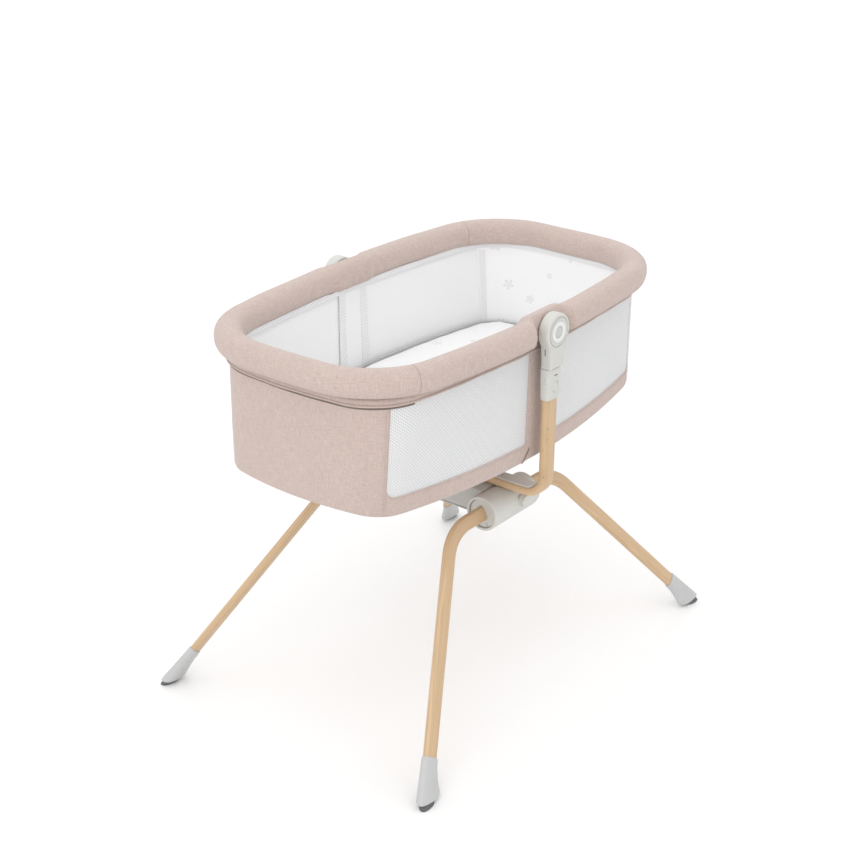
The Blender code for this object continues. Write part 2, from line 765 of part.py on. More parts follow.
def pairOf(frontName, backName, me, mat, origin, parent=None):
    a = put(frontName, me, mat, origin, parent)
    return a, otherHalf(backName, a, parent)


hubFace = (0, -hubOuterFace, hubHigh)
back = Vector((0, 1, 0))


def annulus(name, base, axis, profile, count):
    rings = [disc(Vector(base) + Vector(axis) * s, axis, r, count) for s, r in profile]
    return loft(name, rings, "loop")


ringProfile = [(0.0008, ringRadius - 0.0010), (0.0002, ringRadius), (-ringDeep + gap, ringRadius),
               (-ringDeep + gap, keyRadius + 0.0004), (0.0002, keyRadius + 0.0004),
               (0.0008, keyRadius + 0.0014)]
pairOf("front_hub_ring", "back_hub_ring", annulus("hub_ring", hubFace, (0, -1, 0), ringProfile, 28),
       paleRing, hubFace, carrier)
keyProfile = [(0.0006, keyRadius - 0.0030), (0.0004, keyRadius - 0.0008), (-0.0002, keyRadius),
              (-0.0004, keyRadius),
              (-0.00045, keyRadius - 0.0016), (-0.0056, keyRadius - 0.0016)]
keyMesh = turned("hub_key", hubFace, (0, -1, 0), keyProfile, 24)
pairOf("front_hub_key", "back_hub_key", keyMesh, buttonGrey, hubFace, carrier)

# basket: everything turns with the rocking pivot
basket = pivot("basket_pivot", (0, 0, hubHigh))
rimLine = fullOval(rimHalfLong, rimHalfWide, rimSideRadius, rimEndRadius, rimCorner)


def rimStations():
    """rim centre points, with the step inwards behind each hub and extra stations there"""
    out = []
    extra = (0.060, 0.052, 0.045, 0.038, 0.024)
    for x, y, nx, ny in rimLine:
        if abs(x) > 0.078:
            out.append((x, y, nx, ny))
            continue
        if abs(x) < 1e-6:
            row = sorted([*extra, 0.0, *(-e for e in extra)], reverse=y > 0)
            for e in row:
                r = rimSideRadius
                yy = math.copysign(rimHalfWide - r + math.sqrt(r * r - e * e), y)
                n = Vector((e, math.copysign(math.sqrt(r * r - e * e), y))).normalized()
                out.append((e, yy, n.x, n.y))
    return out


stations = rimStations()


def pinch(x):
    """0 away from the hubs and 1 behind them"""
    return 1.0 - ease(abs(x), 0.036, 0.058)


frameRings = []
for x, y, nx, ny in stations:
    k = pinch(x)
    c = Vector((x, y, rimHigh)) - Vector((nx, ny, 0)) * hubJog * k
    n = Vector((nx, ny, 0))
    frameRings.append([c + n * frameRadius * math.cos(t) + Vector((0, 0, frameRadius * math.sin(t)))
                       for t in [2 * math.pi * i / 8 for i in range(8)]])
put("rim_frame", loft("rim_frame", frameRings, "loop"), frameWhite, (0, 0, hubHigh), basket)

slit = math.radians(14)
channel = frameRadius + 0.0013


def rollSection(x, y, nx, ny):
    k = pinch(x)
    n = Vector((nx, ny, 0))
    c = Vector((x, y, rimHigh)) - n * hubJog * k
    outHalf = rollHalfThick * (1 - k) + hubPinch * k
    inHalf = rollHalfThick
    topHalf = rollHalfHigh + 0.0040 * k
    out = []
    m = 14
    start = -math.pi / 2 + 0.10
    for i in range(m):
        t = start + (2 * math.pi - 0.20) * i / (m - 1)
        cs = math.cos(t)
        sn = math.sin(t)
        p = 2 / 2.5
        h = outHalf if cs > 0 else inHalf
        v = topHalf if sn > 0 else rollHalfHigh
        out.append(c + n * math.copysign(abs(cs) ** p, cs) * h
                   + Vector((0, 0, math.copysign(abs(sn) ** p, sn) * v)))
    q = 8
    for i in range(q):
        t = 1.5 * math.pi - slit - (2 * math.pi - 2 * slit) * i / (q - 1)
        out.append(c + n * channel * math.cos(t) + Vector((0, 0, channel * math.sin(t))))
    return out


roll = put("rim_roll", loft("rim_roll", [rollSection(*s) for s in stations], "loop"), blush,
           (0, 0, hubHigh), basket)
bracketOut = rimHalfWide - hubJog + frameRadius + 0.0004
for sy in (-1, 1):
    at = Vector((0, sy * (bracketOut - 0.0004), 0))
    cut(roll, turned("pocket", at, (0, sy, 0), [(0, 0.0150), (0.02, 0.0150)], 24))

bracketThick = 0.0021


def bracketMesh():
    y = -bracketOut
    rings = []
    for yy, inset in ((y, 0.0), (y - bracketThick, 0.0)):
        rings.append(disc((0, yy, hubHigh + 0.0025), (0, 1, 0), 0.0125 - inset, 16, 0.0, (1.0, 0.88)))
    return loft("bracket", rings)


bracketPlate = put("front_pivot_bracket", bracketMesh(), steel, (0, -bracketOut, hubHigh), basket)
cut(bracketPlate, turned("hole", (0, -0.01, 0), (0, 1, 0), [(0, pinRadius - 0.0012),
                                                            (0.02, pinRadius - 0.0012)], 16))
otherHalf("back_pivot_bracket", bracketPlate, basket)
pinProfile = [(-bracketThick + 0.0003, pinRadius - 0.0015), (0.0003, pinRadius - 0.0015),
              (0.0003, pinRadius + 0.0022), (0.0012, pinRadius + 0.0022), (0.0012, pinRadius),
              (0.0102, pinRadius), (0.0109, pinRadius - 0.0007)]
pinBase = (0, -bracketOut - bracketThick, hubHigh)
pairOf("front_pivot_pin", "back_pivot_pin", turned("pin", pinBase, (0, -1, 0), pinProfile, 16), steel,
       pinBase, basket)

# basket walls ------------------------------------------------------------------
topLine = fullOval(wallHalfLong - 0.002, topHalfWide, 2.4, 0.90, 0.100)
lowLine = fullOval(wallHalfLong, lowHalfWide, 1.75, 0.58, 0.062)


def edgeLow(x):
    return floorEdge + floorRise * (x / wallHalfLong) ** 2


def wallPoint(i, z, inward):
    """a point of the wall at loop index i, height z and depth inward from the outer face"""
    i = i % loopCount
    a = lowLine[i]
    b = topLine[i]
    v = (z - floorEdge) / (wallTop - floorEdge)
    x = a[0] + (b[0] - a[0]) * v
    y = a[1] + (b[1] - a[1]) * v
    n = Vector((a[2] + (b[2] - a[2]) * v, a[3] + (b[3] - a[3]) * v, 0)).normalized()
    tuck = 0.0
    low = edgeLow(x)
    if z < low + 0.010:
        w = max(min((low + 0.010 - z) / 0.010, 1.0), 0.0)
        tuck = 0.0045 * (1 - math.sqrt(max(1 - w * w, 0.0)))
    return Vector((x, y, z)) - n * (inward + tuck)


def alongLoop(f):
    """fractional loop index to two neighbours"""
    i = math.floor(f)
    return i, f - i


def wallAt(f, zTop, zLow, h, inward):
    """h runs 0 (low) to 1 (top)"""
    i, t = alongLoop(f)
    out = []
    for k, w in ((i, 1 - t), (i + 1, t)):
        if w < 1e-9:
            continue
        lowZ = edgeLow(lowLine[k % loopCount][0]) if zLow is None else zLow(k % loopCount)
        z = lowZ + (zTop - lowZ) * h
        out.append((wallPoint(k, z, inward), w))
    s = Vector((0, 0, 0))
    for p, w in out:
        s += p * w
    return s


def wallPiece(name, first, last, zTop, zLow, inA, inB, heights):
    """curved sheet between two loop positions, from depth inA to depth inB"""
    fs = [first] + [k for k in range(math.ceil(first + 1e-6), math.floor(last - 1e-6) + 1)] + [last]
    rings = []
    for f in fs:
        ring = [wallAt(f, zTop, zLow, h, inA) for h in heights]
        ring += [wallAt(f, zTop, zLow, h, inB) for h in reversed(heights)]
        rings.append(ring)
    return loft(name, rings)


side = 0.006                                  # sliver of loop position that parts neighbouring panels
tuckMid = 0.004664
tuckHigh = 0.01166
wallHigh = wallTop - floorEdge
hs = [0.0, tuckMid / wallHigh, tuckHigh / wallHigh, 0.35, 0.68, 1.0]
q = quarterCount
seamBack = 1.9                                # the seam sits this many steps before the corner ends
joinA = sideStart - seamBack                  # far back corner (x>0, y>0)
joinB = 2 * q - sideStart + seamBack                     # near back corner
joinC = 2 * q + sideStart - seamBack                     # near front corner
joinD = 4 * q - sideStart + seamBack                     # far front corner
nearPanel = wallPiece("near_end_panel", joinB + side, joinC - side, wallTop, None, 0.0, panelThick, hs)
put("near_end_panel", nearPanel, blush, (0, 0, hubHigh), basket)
farPanel = wallPiece("far_end_panel", joinD - loopCount + side, joinA - side, wallTop, None, 0.0,
                     panelThick, hs)
put("far_end_panel", farPanel, blush, (0, 0, hubHigh), basket)


def loopAt(x, y, z):
    """loop position on a long side for a given x"""
    best = None
    for k in range(loopCount):
        p = wallPoint(k, z, 0)
        r = wallPoint(k + 1, z, 0)
        if p.y * y <= 0 or r.y * y <= 0 or abs(p.y) < 0.1:
            continue
        if (p.x - x) * (r.x - x) <= 0 and abs(p.x - r.x) > 1e-6:
            best = k + (x - p.x) / (r.x - p.x)
    return best


stripHalf = 0.026


def bandTop(k):
    return edgeLow(lowLine[k][0]) + bandHigh


def bandFace(k):
    return edgeLow(lowLine[k][0]) + bandHigh + gap


for word, sy, first, last in (("front", -1, joinC, joinD), ("back", 1, joinA, joinB)):
    x1 = -stripHalf if sy < 0 else stripHalf
    m1 = loopAt(x1, sy, 0.55)
    m2 = loopAt(-x1, sy, 0.55)
    ends = ("near", "far") if sy < 0 else ("far", "near")
    hm = [0.0, 0.33, 0.66, 1.0]
    one = wallPiece("m", first + side, m1 - side, wallTop, bandFace, 0.0002, 0.0027, hm)
    two = wallPiece("m", m2 + side, last - side, wallTop, bandFace, 0.0002, 0.0027, hm)
    mid = wallPiece("m", m1 + side, m2 - side, wallTop, bandFace, 0.0, panelThick, hm)
    put(word + "_" + ends[0] + "_mesh_panel", one, meshWhite, (0, 0, hubHigh), basket)
    put(word + "_" + ends[1] + "_mesh_panel", two, meshWhite, (0, 0, hubHigh), basket)
    put(word + "_middle_strip", mid, blush, (0, 0, hubHigh), basket)
    fs = [first + side] + list(range(math.floor(first) + 1, math.ceil(last))) + [last - side]
    rings = []
    for f in fs:
        i, t = alongLoop(f)
        lowZ = (edgeLow(lowLine[i % loopCount][0]) * (1 - t) + edgeLow(lowLine[(i + 1) % loopCount][0]) * t)
        ring = []
        for h, d in ((0, 0.0), (0.25, 0.0), (0.5, 0.0), (1, 0.0), (1, panelThick), (0.5, panelThick),
                     (0.25, panelThick), (0, panelThick)):
            z = lowZ + bandHigh * h
            a = wallPoint(i, z, d)
            b = wallPoint(i + 1, z, d)
            ring.append(a * (1 - t) + b * t)
        rings.append(ring)
    put(word + "_bottom_band", loft("band", rings), blush, (0, 0, hubHigh), basket)

# white inner liners at the two ends
linerLow = boardHigh + boardThick + 0.001
linerIn = panelThick + 2 * gap
hl = [0.0, 0.35, 0.7, 1.0]
for name, first, last in (("near_end_liner", joinB - 0.4, joinC + 0.4),
                          ("far_end_liner", joinD - loopCount - 0.4, joinA + 0.4)):
    put(name, wallPiece(name, first, last, wallTop, lambda k: linerLow, linerIn, linerIn + linerThick,
                        hl), linerWhite,
        (0, 0, hubHigh), basket)

# hem strip hanging below the roll, with a thicker lower lip
hemTop = rimHigh - rollHalfHigh - gap
hemLow = hemTop - 0.0185
hemRings = []
for k in range(loopCount):
    ring = []
    for d, z in ((0.0042, hemTop), (0.0042, hemLow + 0.005), (0.0054, hemLow + 0.003),
                 (0.0054, hemLow + 0.001), (0.0042, hemLow),
                 (0.0005, hemLow), (0.0005, hemTop)):
        p = wallPoint(k, min(z, wallTop), -d)
        ring.append(Vector((p.x, p.y, z)))
    hemRings.append(ring)
put("hem_strip", loft("hem_strip", hemRings, "loop"), blush, (0, 0, hubHigh), basket)


def plateOf(name, z0, z1, inward, curved, edge=0.0):
    """flat or gently curved plate filling the plan of the walls"""
    rings = []
    levels = ((0.0, edge), (0.18, edge * 0.3), (0.35, 0.0), (0.8, 0.0),
              (1.0, edge * 0.8)) if edge else ((0.0, 0.0), (1.0, 0.0))
    for h, e in levels:
        ring = []
        for k in range(loopCount):
            x = lowLine[k][0]
            lift = floorRise * (x / wallHalfLong) ** 2 if curved else 0.0
            z = z0 + (z1 - z0) * h + lift
            p = wallPoint(k, max(z, floorEdge + 0.012 + lift), inward + e)
            ring.append(Vector((p.x, p.y, z)))
        rings.append(ring)
    return rings


wallDrift = 0.012 * (topHalfWide - lowHalfWide) / (wallTop - floorEdge)
underIn = panelThick + wallDrift + 0.005346
underRings = plateOf("under", floorEdge + 0.0008, floorEdge + 0.0030, underIn, True)


def bowedPlate(name, rings):
    """plate whose caps are strips across, so the long curve stays smooth"""
    n = len(rings[0])
    verts = [p for r in rings for p in r]
    faces = []
    for k in range(len(rings) - 1):
        for i in range(n):
            j = (i + 1) % n
            faces.append((k * n + i, k * n + j, (k + 1) * n + j, (k + 1) * n + i))
    for base in (0, (len(rings) - 1) * n):
        half = n // 2
        faces.append((base + 0, base + 1, base + n - 1))
        for i in range(1, half - 1):
            faces.append((base + i, base + i + 1, base + n - i - 1, base + n - i))
        faces.append((base + half - 1, base + half, base + half + 1))
    return meshFrom(name, verts, faces)


put("underside_cover", bowedPlate("underside_cover", underRings), blush, (0, 0, hubHigh), basket)
boardRings = plateOf("board", boardHigh, boardHigh + boardThick, panelThick + 0.0020, False)
put("floor_board", bowedPlate("floor_board", boardRings), boardGrey, (0, 0, hubHigh), basket)
mattressLow = boardHigh + boardThick + gap
mattressRings = plateOf("mattress", mattressLow, mattressLow + mattressThick,
                        linerIn + linerThick + 0.0012, False, 0.010)
put("mattress", bowedPlate("mattress", mattressRings), linerWhite, (0, 0, hubHigh), basket)
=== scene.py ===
import math

import bmesh
import bpy
import numpy as np
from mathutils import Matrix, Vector


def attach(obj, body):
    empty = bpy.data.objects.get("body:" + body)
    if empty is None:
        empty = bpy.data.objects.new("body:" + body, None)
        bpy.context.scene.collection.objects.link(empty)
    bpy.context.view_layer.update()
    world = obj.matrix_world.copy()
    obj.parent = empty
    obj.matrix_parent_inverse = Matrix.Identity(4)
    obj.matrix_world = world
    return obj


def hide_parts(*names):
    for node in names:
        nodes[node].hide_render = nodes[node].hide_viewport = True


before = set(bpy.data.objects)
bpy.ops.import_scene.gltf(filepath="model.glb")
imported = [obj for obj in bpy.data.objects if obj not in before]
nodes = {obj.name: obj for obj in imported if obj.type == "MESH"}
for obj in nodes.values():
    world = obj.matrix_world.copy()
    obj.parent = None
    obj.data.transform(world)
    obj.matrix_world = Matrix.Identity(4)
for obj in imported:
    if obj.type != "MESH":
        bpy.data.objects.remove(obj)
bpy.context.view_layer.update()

ex = Vector((1, 0, 0))
print("frame loaded:", len(nodes), "nodes")

# small helpers for node trees


class Sock:
    # one output socket that can be used in sums

    def __init__(self, bench, out):
        self.bench = bench
        self.out = out

    def calc(self, what, *others):
        n = self.bench.add("ShaderNodeMath", {"operation": what}, [self, *others])
        return Sock(self.bench, n.outputs[0])

    def __add__(self, other):
        return self.calc("ADD", other)

    def __sub__(self, other):
        return self.calc("SUBTRACT", other)

    def __rsub__(self, other):
        return (self * -1.0) + other

    def __mul__(self, other):
        return self.calc("MULTIPLY", other)

    def __truediv__(self, other):
        return self.calc("DIVIDE", other)

    def __pow__(self, other):
        return self.calc("POWER", other)

    __radd__ = __add__
    __rmul__ = __mul__

    def between(self, low, high):
        n = self.bench.add("ShaderNodeMapRange", {"clamp": True}, {0: self, 1: low, 2: high, 3: 0.0, 4: 1.0})
        return Sock(self.bench, n.outputs[0])


class Bench:
    # a node tree that nodes are added to

    def __init__(self, tree):
        self.tree = tree

    def add(self, kind, settings=None, feeds=None):
        n = self.tree.nodes.new(kind)
        for key, value in (settings or {}).items():
            if key == "stops":
                ramp = n.color_ramp
                while len(ramp.elements) < len(value):
                    ramp.elements.new(0.5)
                for e, (at, colour) in zip(ramp.elements, value):
                    e.position = at
                    e.color = (*colour, 1.0)
            else:
                setattr(n, key, value)
        pairs = feeds.items() if isinstance(feeds, dict) else enumerate(feeds or [])
        for key, value in pairs:
            self.join(value, n.inputs[key])
        return n

    def join(self, value, socket):
        if isinstance(value, Sock):
            self.tree.links.new(value.out, socket)
        elif isinstance(value, bpy.types.NodeSocket):
            self.tree.links.new(value, socket)
        else:
            socket.default_value = value


class Look(Bench):
    # a Principled material

    def __init__(self, name, fixed):
        self.mat = bpy.data.materials.new(name)
        self.mat.use_nodes = True
        super().__init__(self.mat.node_tree)
        self.skin = self.tree.nodes["Principled BSDF"]
        for key, value in fixed.items():
            self.skin.inputs[key].default_value = value

    def objectSpot(self):
        return self.add("ShaderNodeTexCoord").outputs["Object"]

    def clothSpot(self):
        return self.add("ShaderNodeUVMap", {"uv_map": "weave"}).outputs[0]

    def stretched(self, spot, x, y, z=1.0):
        n = self.add("ShaderNodeVectorMath", {"operation": "MULTIPLY"}, [spot, (x, y, z)])
        return n.outputs[0]

    def noise(self, spot, scale=1.0, detail=2.0, rough=0.5):
        n = self.add("ShaderNodeTexNoise", {}, {"Vector": spot, "Scale": scale, "Detail": detail,
                                                "Roughness": rough})
        return Sock(self, n.outputs[0])

    def blendOf(self, share, one, two):
        n = self.add("ShaderNodeMix", {"data_type": "RGBA"}, {0: share, 6: colourOf(one), 7: colourOf(two)})
        return n.outputs[2]

    def part(self, spot):
        n = self.add("ShaderNodeSeparateXYZ", {}, [spot])
        return [Sock(self, o) for o in n.outputs]

    def paint(self, colour):
        self.join(colour, self.skin.inputs["Base Color"])

    def gloss(self, value):
        self.join(value, self.skin.inputs["Roughness"])

    def relief(self, height, depth, strength=1.0):
        n = self.add("ShaderNodeBump", {}, {"Strength": strength, "Distance": depth, "Height": height})
        self.tree.links.new(n.outputs[0], self.skin.inputs["Normal"])


def colourOf(c):
    return (*c, 1.0) if isinstance(c, tuple) and len(c) == 3 else c


# finishes

linen = {"light": (0.690, 0.570, 0.520), "dark": (0.470, 0.366, 0.325), "slubLong": 62.0, "slubThin": 820.0,
         "thread": 0.00085}


def linenLook():
    # two-tone linen weave whose slubs run both ways along the cloth
    k = Look("blushLinen", {"Sheen Weight": 0.25, "Sheen Roughness": 0.5, "Specular IOR Level": 0.25})
    spot = k.clothSpot()
    weft = k.noise(k.stretched(spot, linen["slubLong"], linen["slubThin"]), 1.0, 3.0, 0.6)
    warp = k.noise(k.stretched(spot, linen["slubThin"], linen["slubLong"]), 1.0, 3.0, 0.6)
    broad = k.noise(k.stretched(spot, 14.0, 14.0), 1.0, 2.0)
    coarse = k.noise(k.stretched(spot, 160.0, 420.0), 1.0, 2.0)
    melange = (weft * 0.42 + warp * 0.42 + coarse * 0.16).between(0.36, 0.64)
    u, v, _ = k.part(spot)
    turn = 2 * math.pi / linen["thread"]
    over = (u * turn).calc("SINE") * (v * turn).calc("SINE")
    tone = melange * 0.80 + broad * 0.16 + over * 0.04
    k.paint(k.blendOf(tone, linen["dark"], linen["light"]))
    k.gloss(melange * 0.10 + 0.80)
    k.relief(melange * 0.65 + over * 0.35, 0.00035, 0.7)
    return k.mat


oak = {"pale": (0.690, 0.500, 0.310), "mid": (0.520, 0.350, 0.195), "deep": (0.330, 0.200, 0.100)}


def oakLook():
    # oak grain that runs along the tube, satin lacquer
    k = Look("oakPrint", {"Coat Roughness": 0.25, "Coat Weight": 0.12, "Specular IOR Level": 0.45})
    spot = k.clothSpot()
    drift = k.noise(k.stretched(spot, 5.0, 70.0), 1.0, 2.0)
    u, v, _ = k.part(spot)
    rings = ((v * 900.0 + drift * 22.0 + u * 2.0).calc("SINE") * 0.5 + 0.5)
    fine = k.noise(k.stretched(spot, 9.0, 1500.0), 1.0, 3.0, 0.7)
    pores = k.noise(k.stretched(spot, 95.0, 2300.0), 1.0, 1.0).between(0.66, 0.74)
    patches = k.noise(k.stretched(spot, 7.0, 45.0), 1.0, 1.0)
    share = (rings * 0.34 + fine * 0.46 + patches * 0.34 - 0.10).between(0.12, 0.88)
    base = k.blendOf(share, oak["mid"], oak["pale"])
    k.paint(k.blendOf(pores * 0.55, base, oak["deep"]))
    k.gloss(fine * 0.10 + 0.36)
    k.relief(fine * 0.5 - pores * 0.5, 0.00010, 0.5)
    return k.mat


def plasticLook(name, colour, rough=0.42, grain=0.00006, spread=0.035):
    # moulded plastic: fine spark texture, faint flow marks and small rubbed patches in slightly lighter and
    # darker tone
    k = Look(name, {"Specular IOR Level": 0.45})
    spot = k.objectSpot()
    fine = k.noise(spot, 2600.0, 1.0)
    flow = k.noise(spot, 28.0, 2.0)
    rub = k.noise(spot, 160.0, 3.0, 0.6)
    dark = tuple(c * (1 - spread) for c in colour)
    pale = tuple(min(c * (1 + spread), 0.95) for c in colour)
    k.paint(k.blendOf((flow * 0.7 + rub * 0.3).between(0.3, 0.7), dark, pale))
    k.gloss(rub * 0.12 + (rough - 0.06))
    k.relief(fine, grain, 0.5)
    return k.mat


def rubberLook():
    k = Look("padRubber", {"Specular IOR Level": 0.3})
    spot = k.objectSpot()
    dust = k.noise(spot, 300.0, 3.0, 0.65).between(0.45, 0.75)
    k.paint(k.blendOf(dust, (0.115, 0.115, 0.12), (0.20, 0.20, 0.20)))
    k.gloss(dust * 0.12 + 0.72)
    k.relief(k.noise(spot, 1800.0, 2.0), 0.00012, 0.6)
    return k.mat


def steelLook(name, colour, rough, metal):
    k = Look(name, {"Metallic": metal})
    spot = k.objectSpot()
    scratch = k.noise(k.stretched(spot, 400.0, 400.0, 4000.0), 1.0, 2.0)
    cloud = k.noise(spot, 220.0, 3.0)
    k.paint(k.blendOf(cloud.between(0.35, 0.65), tuple(c * 0.82 for c in colour), colour))
    k.gloss(scratch * 0.18 + (rough - 0.08))
    k.relief(scratch, 0.00004, 0.4)
    return k.mat


def knitLook(name, colour, shadow, cell):
    # soft white knit with small round hollows in offset rows
    k = Look(name, {"Sheen Weight": 0.15, "Specular IOR Level": 0.2})
    spot = k.clothSpot()
    u, v, _ = k.part(spot)
    turn = 2 * math.pi / cell
    dots = (u * turn).calc("COSINE") * (v * turn * 0.577).calc("COSINE")
    hollow = dots.between(-0.1, 0.8)
    cloud = k.noise(k.stretched(spot, 20.0, 20.0), 1.0, 2.0)
    yarn = k.noise(k.stretched(spot, 1400.0, 1400.0), 1.0, 2.0)
    share = (hollow * 0.75 + yarn * 0.15 + cloud * 0.10)
    k.paint(k.blendOf(share, colour, shadow))
    k.gloss(yarn * 0.1 + 0.82)
    k.relief(1.0 - hollow + yarn * 0.2, 0.0003, 0.6)
    return k.mat


def hatchLook():
    # white edging tape with rows of short slanting slits
    k = Look("hatchTape", {"Sheen Weight": 0.1, "Specular IOR Level": 0.2})
    u, v, _ = k.part(k.clothSpot())
    turn = 2 * math.pi / 0.0030
    slant = ((u + v) * turn).calc("SINE").between(0.35, 0.75)
    rows = ((u - v) * turn * 0.5).calc("SINE").between(-0.3, 0.2)
    slit = slant * rows
    yarn = k.noise(k.clothSpot(), 1500.0, 2.0)
    k.paint(k.blendOf(slit * 0.9 + yarn * 0.05, (0.93, 0.93, 0.935), (0.36, 0.36, 0.38)))
    k.gloss(yarn * 0.1 + 0.8)
    k.relief(1.0 - slit, 0.0004, 0.8)
    return k.mat


def netLook():
    # yarn of the open outer net
    k = Look("netYarn", {"Sheen Weight": 0.2, "Specular IOR Level": 0.3})
    spot = k.objectSpot()
    yarn = k.noise(spot, 1500.0, 2.0)
    cloud = k.noise(spot, 40.0, 2.0)
    k.paint(k.blendOf(yarn * 0.6 + cloud * 0.4, (0.86, 0.862, 0.865), (0.94, 0.942, 0.945)))
    k.gloss(yarn * 0.15 + 0.7)
    k.relief(yarn, 0.0001, 0.5)
    return k.mat


sprigs = {"cell": 0.075, "petal": 0.0105, "ink": (0.70, 0.70, 0.71), "ground": (0.935, 0.935, 0.94)}


def liningLook():
    # smooth white lining with small grey five-leaf motifs set wide apart
    k = Look("printedLining", {"Sheen Weight": 0.1, "Specular IOR Level": 0.2})
    spot = k.clothSpot()
    yarn = k.noise(k.stretched(spot, 1500.0, 1500.0), 1.0, 2.0)
    cloud = k.noise(k.stretched(spot, 12.0, 12.0), 1.0, 2.0)
    shaded = tuple(c * 0.965 for c in sprigs["ground"])
    ground = k.blendOf(cloud * 0.6 + yarn * 0.4, shaded, sprigs["ground"])
    scaled = k.stretched(spot, 1 / sprigs["cell"], 1 / sprigs["cell"], 0.0)
    cells = k.add("ShaderNodeTexVoronoi", {"voronoi_dimensions": "2D"},
                  {"Vector": scaled, "Scale": 1.0, "Randomness": 0.75})
    off = k.add("ShaderNodeVectorMath", {"operation": "SUBTRACT"}, [scaled, cells.outputs["Position"]])
    x, y, _ = k.part(off.outputs[0])
    r, g, _ = k.part(cells.outputs["Color"])
    angle = y.calc("ARCTAN2", x) + r * 6.28
    away = (x * x + y * y).calc("SQRT") * sprigs["cell"]
    leaf = (angle * 2.5).calc("COSINE").calc("ABSOLUTE") ** 0.7
    size = leaf * sprigs["petal"] * (g * 0.5 + 0.6)
    inside = (size - away).between(0.0, 0.0006)
    vein = ((size - away).between(0.0022, 0.0028)) * 0.5
    k.paint(k.blendOf((inside - vein) * 0.75, ground, sprigs["ink"]))
    k.gloss(yarn * 0.1 + 0.8)
    k.relief(yarn, 0.0001, 0.5)
    return k.mat


def threadLook(name, colour):
    k = Look(name, {"Sheen Weight": 0.3})
    spot = k.objectSpot()
    twist = k.noise(spot, 1700.0, 2.0)
    k.paint(k.blendOf(twist, tuple(c * 0.7 for c in colour), colour))
    k.gloss(twist * 0.2 + 0.6)
    k.relief(twist, 0.0001, 0.5)
    return k.mat


def boardLook():
    k = Look("fibreBoard", {})
    spot = k.objectSpot()
    chips = k.noise(spot, 350.0, 4.0, 0.7)
    k.paint(k.blendOf(chips.between(0.3, 0.7), (0.30, 0.22, 0.15), (0.48, 0.37, 0.26)))
    k.gloss(chips * 0.1 + 0.7)
    k.relief(chips, 0.0002, 0.4)
    return k.mat


looks = {
    "linen": linenLook(),
    "oak": oakLook(),
    "warmGrey": plasticLook("warmGreyPlastic", (0.610, 0.608, 0.573)),
    "white": plasticLook("whitePlastic", (0.76, 0.765, 0.76), 0.36),
    "keyGrey": plasticLook("keyGreyPlastic", (0.565, 0.560, 0.540), 0.45),
    "bridge": plasticLook("bridgePlastic", (0.50, 0.50, 0.475), 0.5),
    "foot": plasticLook("footPlastic", (0.515, 0.518, 0.518), 0.40),
    # dark brown: painted shade at the bottoms of the sleeve slot and the collar latch slot
    "slotShade": plasticLook("slotPaintedShade", (0.10, 0.055, 0.028), 0.6),
    "rubber": rubberLook(),
    "zinc": steelLook("zincPlate", (0.62, 0.62, 0.63), 0.34, 1.0),
    "frameSteel": steelLook("whiteCoatedSteel", (0.74, 0.74, 0.745), 0.45, 0.0),
    "knit": knitLook("airKnit", (0.935, 0.937, 0.94), (0.82, 0.822, 0.83), 0.0026),
    # darker copy of the knit: painted shade for the knit seen through the net holes
    "knitShade": knitLook("airKnitPaintedShade", (0.76, 0.765, 0.775), (0.60, 0.605, 0.615), 0.0026),
    "tape": hatchLook(),
    "net": netLook(),
    "printed": liningLook(),
    "thread": threadLook("seamThread", (0.46, 0.345, 0.295)),
    "paleThread": threadLook("paleThread", (0.66, 0.64, 0.62)),
    "zip": threadLook("zipBrown", (0.26, 0.20, 0.165)),
    # grey piping colour: painted shade for the dark line along the mattress edge
    "piping": threadLook("shadedMattressPiping", (0.60, 0.60, 0.61)),
    # colour of the dark cord, also used as painted shade for the small pieces in the gaps beside the hubs
    "cordAndGapShade": threadLook("cordAndGapShade", (0.30, 0.235, 0.195)),
    "board": boardLook(),
}
print("finishes made:", len(looks))

# mesh helpers


def pieceFrom(name, verts, faces, spots=None, smooth=True):
    # mesh object in place; spots is one (u, v) in metres for each vertex
    me = bpy.data.meshes.new(name)
    me.from_pydata([tuple(float(c) for c in v) for v in verts], [], faces)
    if spots is not None:
        layer = me.uv_layers.new(name="weave")
        at = np.zeros(len(me.loops), dtype=np.int32)
        me.loops.foreach_get("vertex_index", at)
        layer.data.foreach_set("uv", np.asarray(spots, dtype=np.float32)[at].ravel())
    if smooth:
        me.shade_smooth()
    ob = bpy.data.objects.new(name, me)
    bpy.context.scene.collection.objects.link(ob)
    return ob


def bandFaces(rows, cols, rowsLoop=False, colsLoop=False):
    faces = []
    for i in range(rows if rowsLoop else rows - 1):
        for j in range(cols if colsLoop else cols - 1):
            a = i * cols + j
            b = ((i + 1) % rows) * cols + j
            c = ((i + 1) % rows) * cols + (j + 1) % cols
            d = i * cols + (j + 1) % cols
            faces.append((a, b, c, d))
    return faces


def turnOut(ob):
    # faces of a closed mesh point outwards
    bm = bmesh.new()
    bm.from_mesh(ob.data)
    bmesh.ops.recalc_face_normals(bm, faces=bm.faces)
    if bm.calc_volume(signed=True) < 0:
        bmesh.ops.reverse_faces(bm, faces=bm.faces)
    bm.to_mesh(ob.data)
    bm.free()
    return ob


def solidOf(name, rings, loop=False, spots=None, sharp=30):
    # closed solid through equal rings of points
    n = len(rings[0])
    verts = [p for r in rings for p in r]
    faces = bandFaces(len(rings), n, loop, True)
    if not loop:
        faces.append(tuple(range(n)))
        faces.append(tuple((len(rings) - 1) * n + i for i in range(n)))
    ob = turnOut(pieceFrom(name, verts, faces, spots))
    if sharp:
        ob.data.set_sharp_from_angle(angle=math.radians(sharp))
    return ob


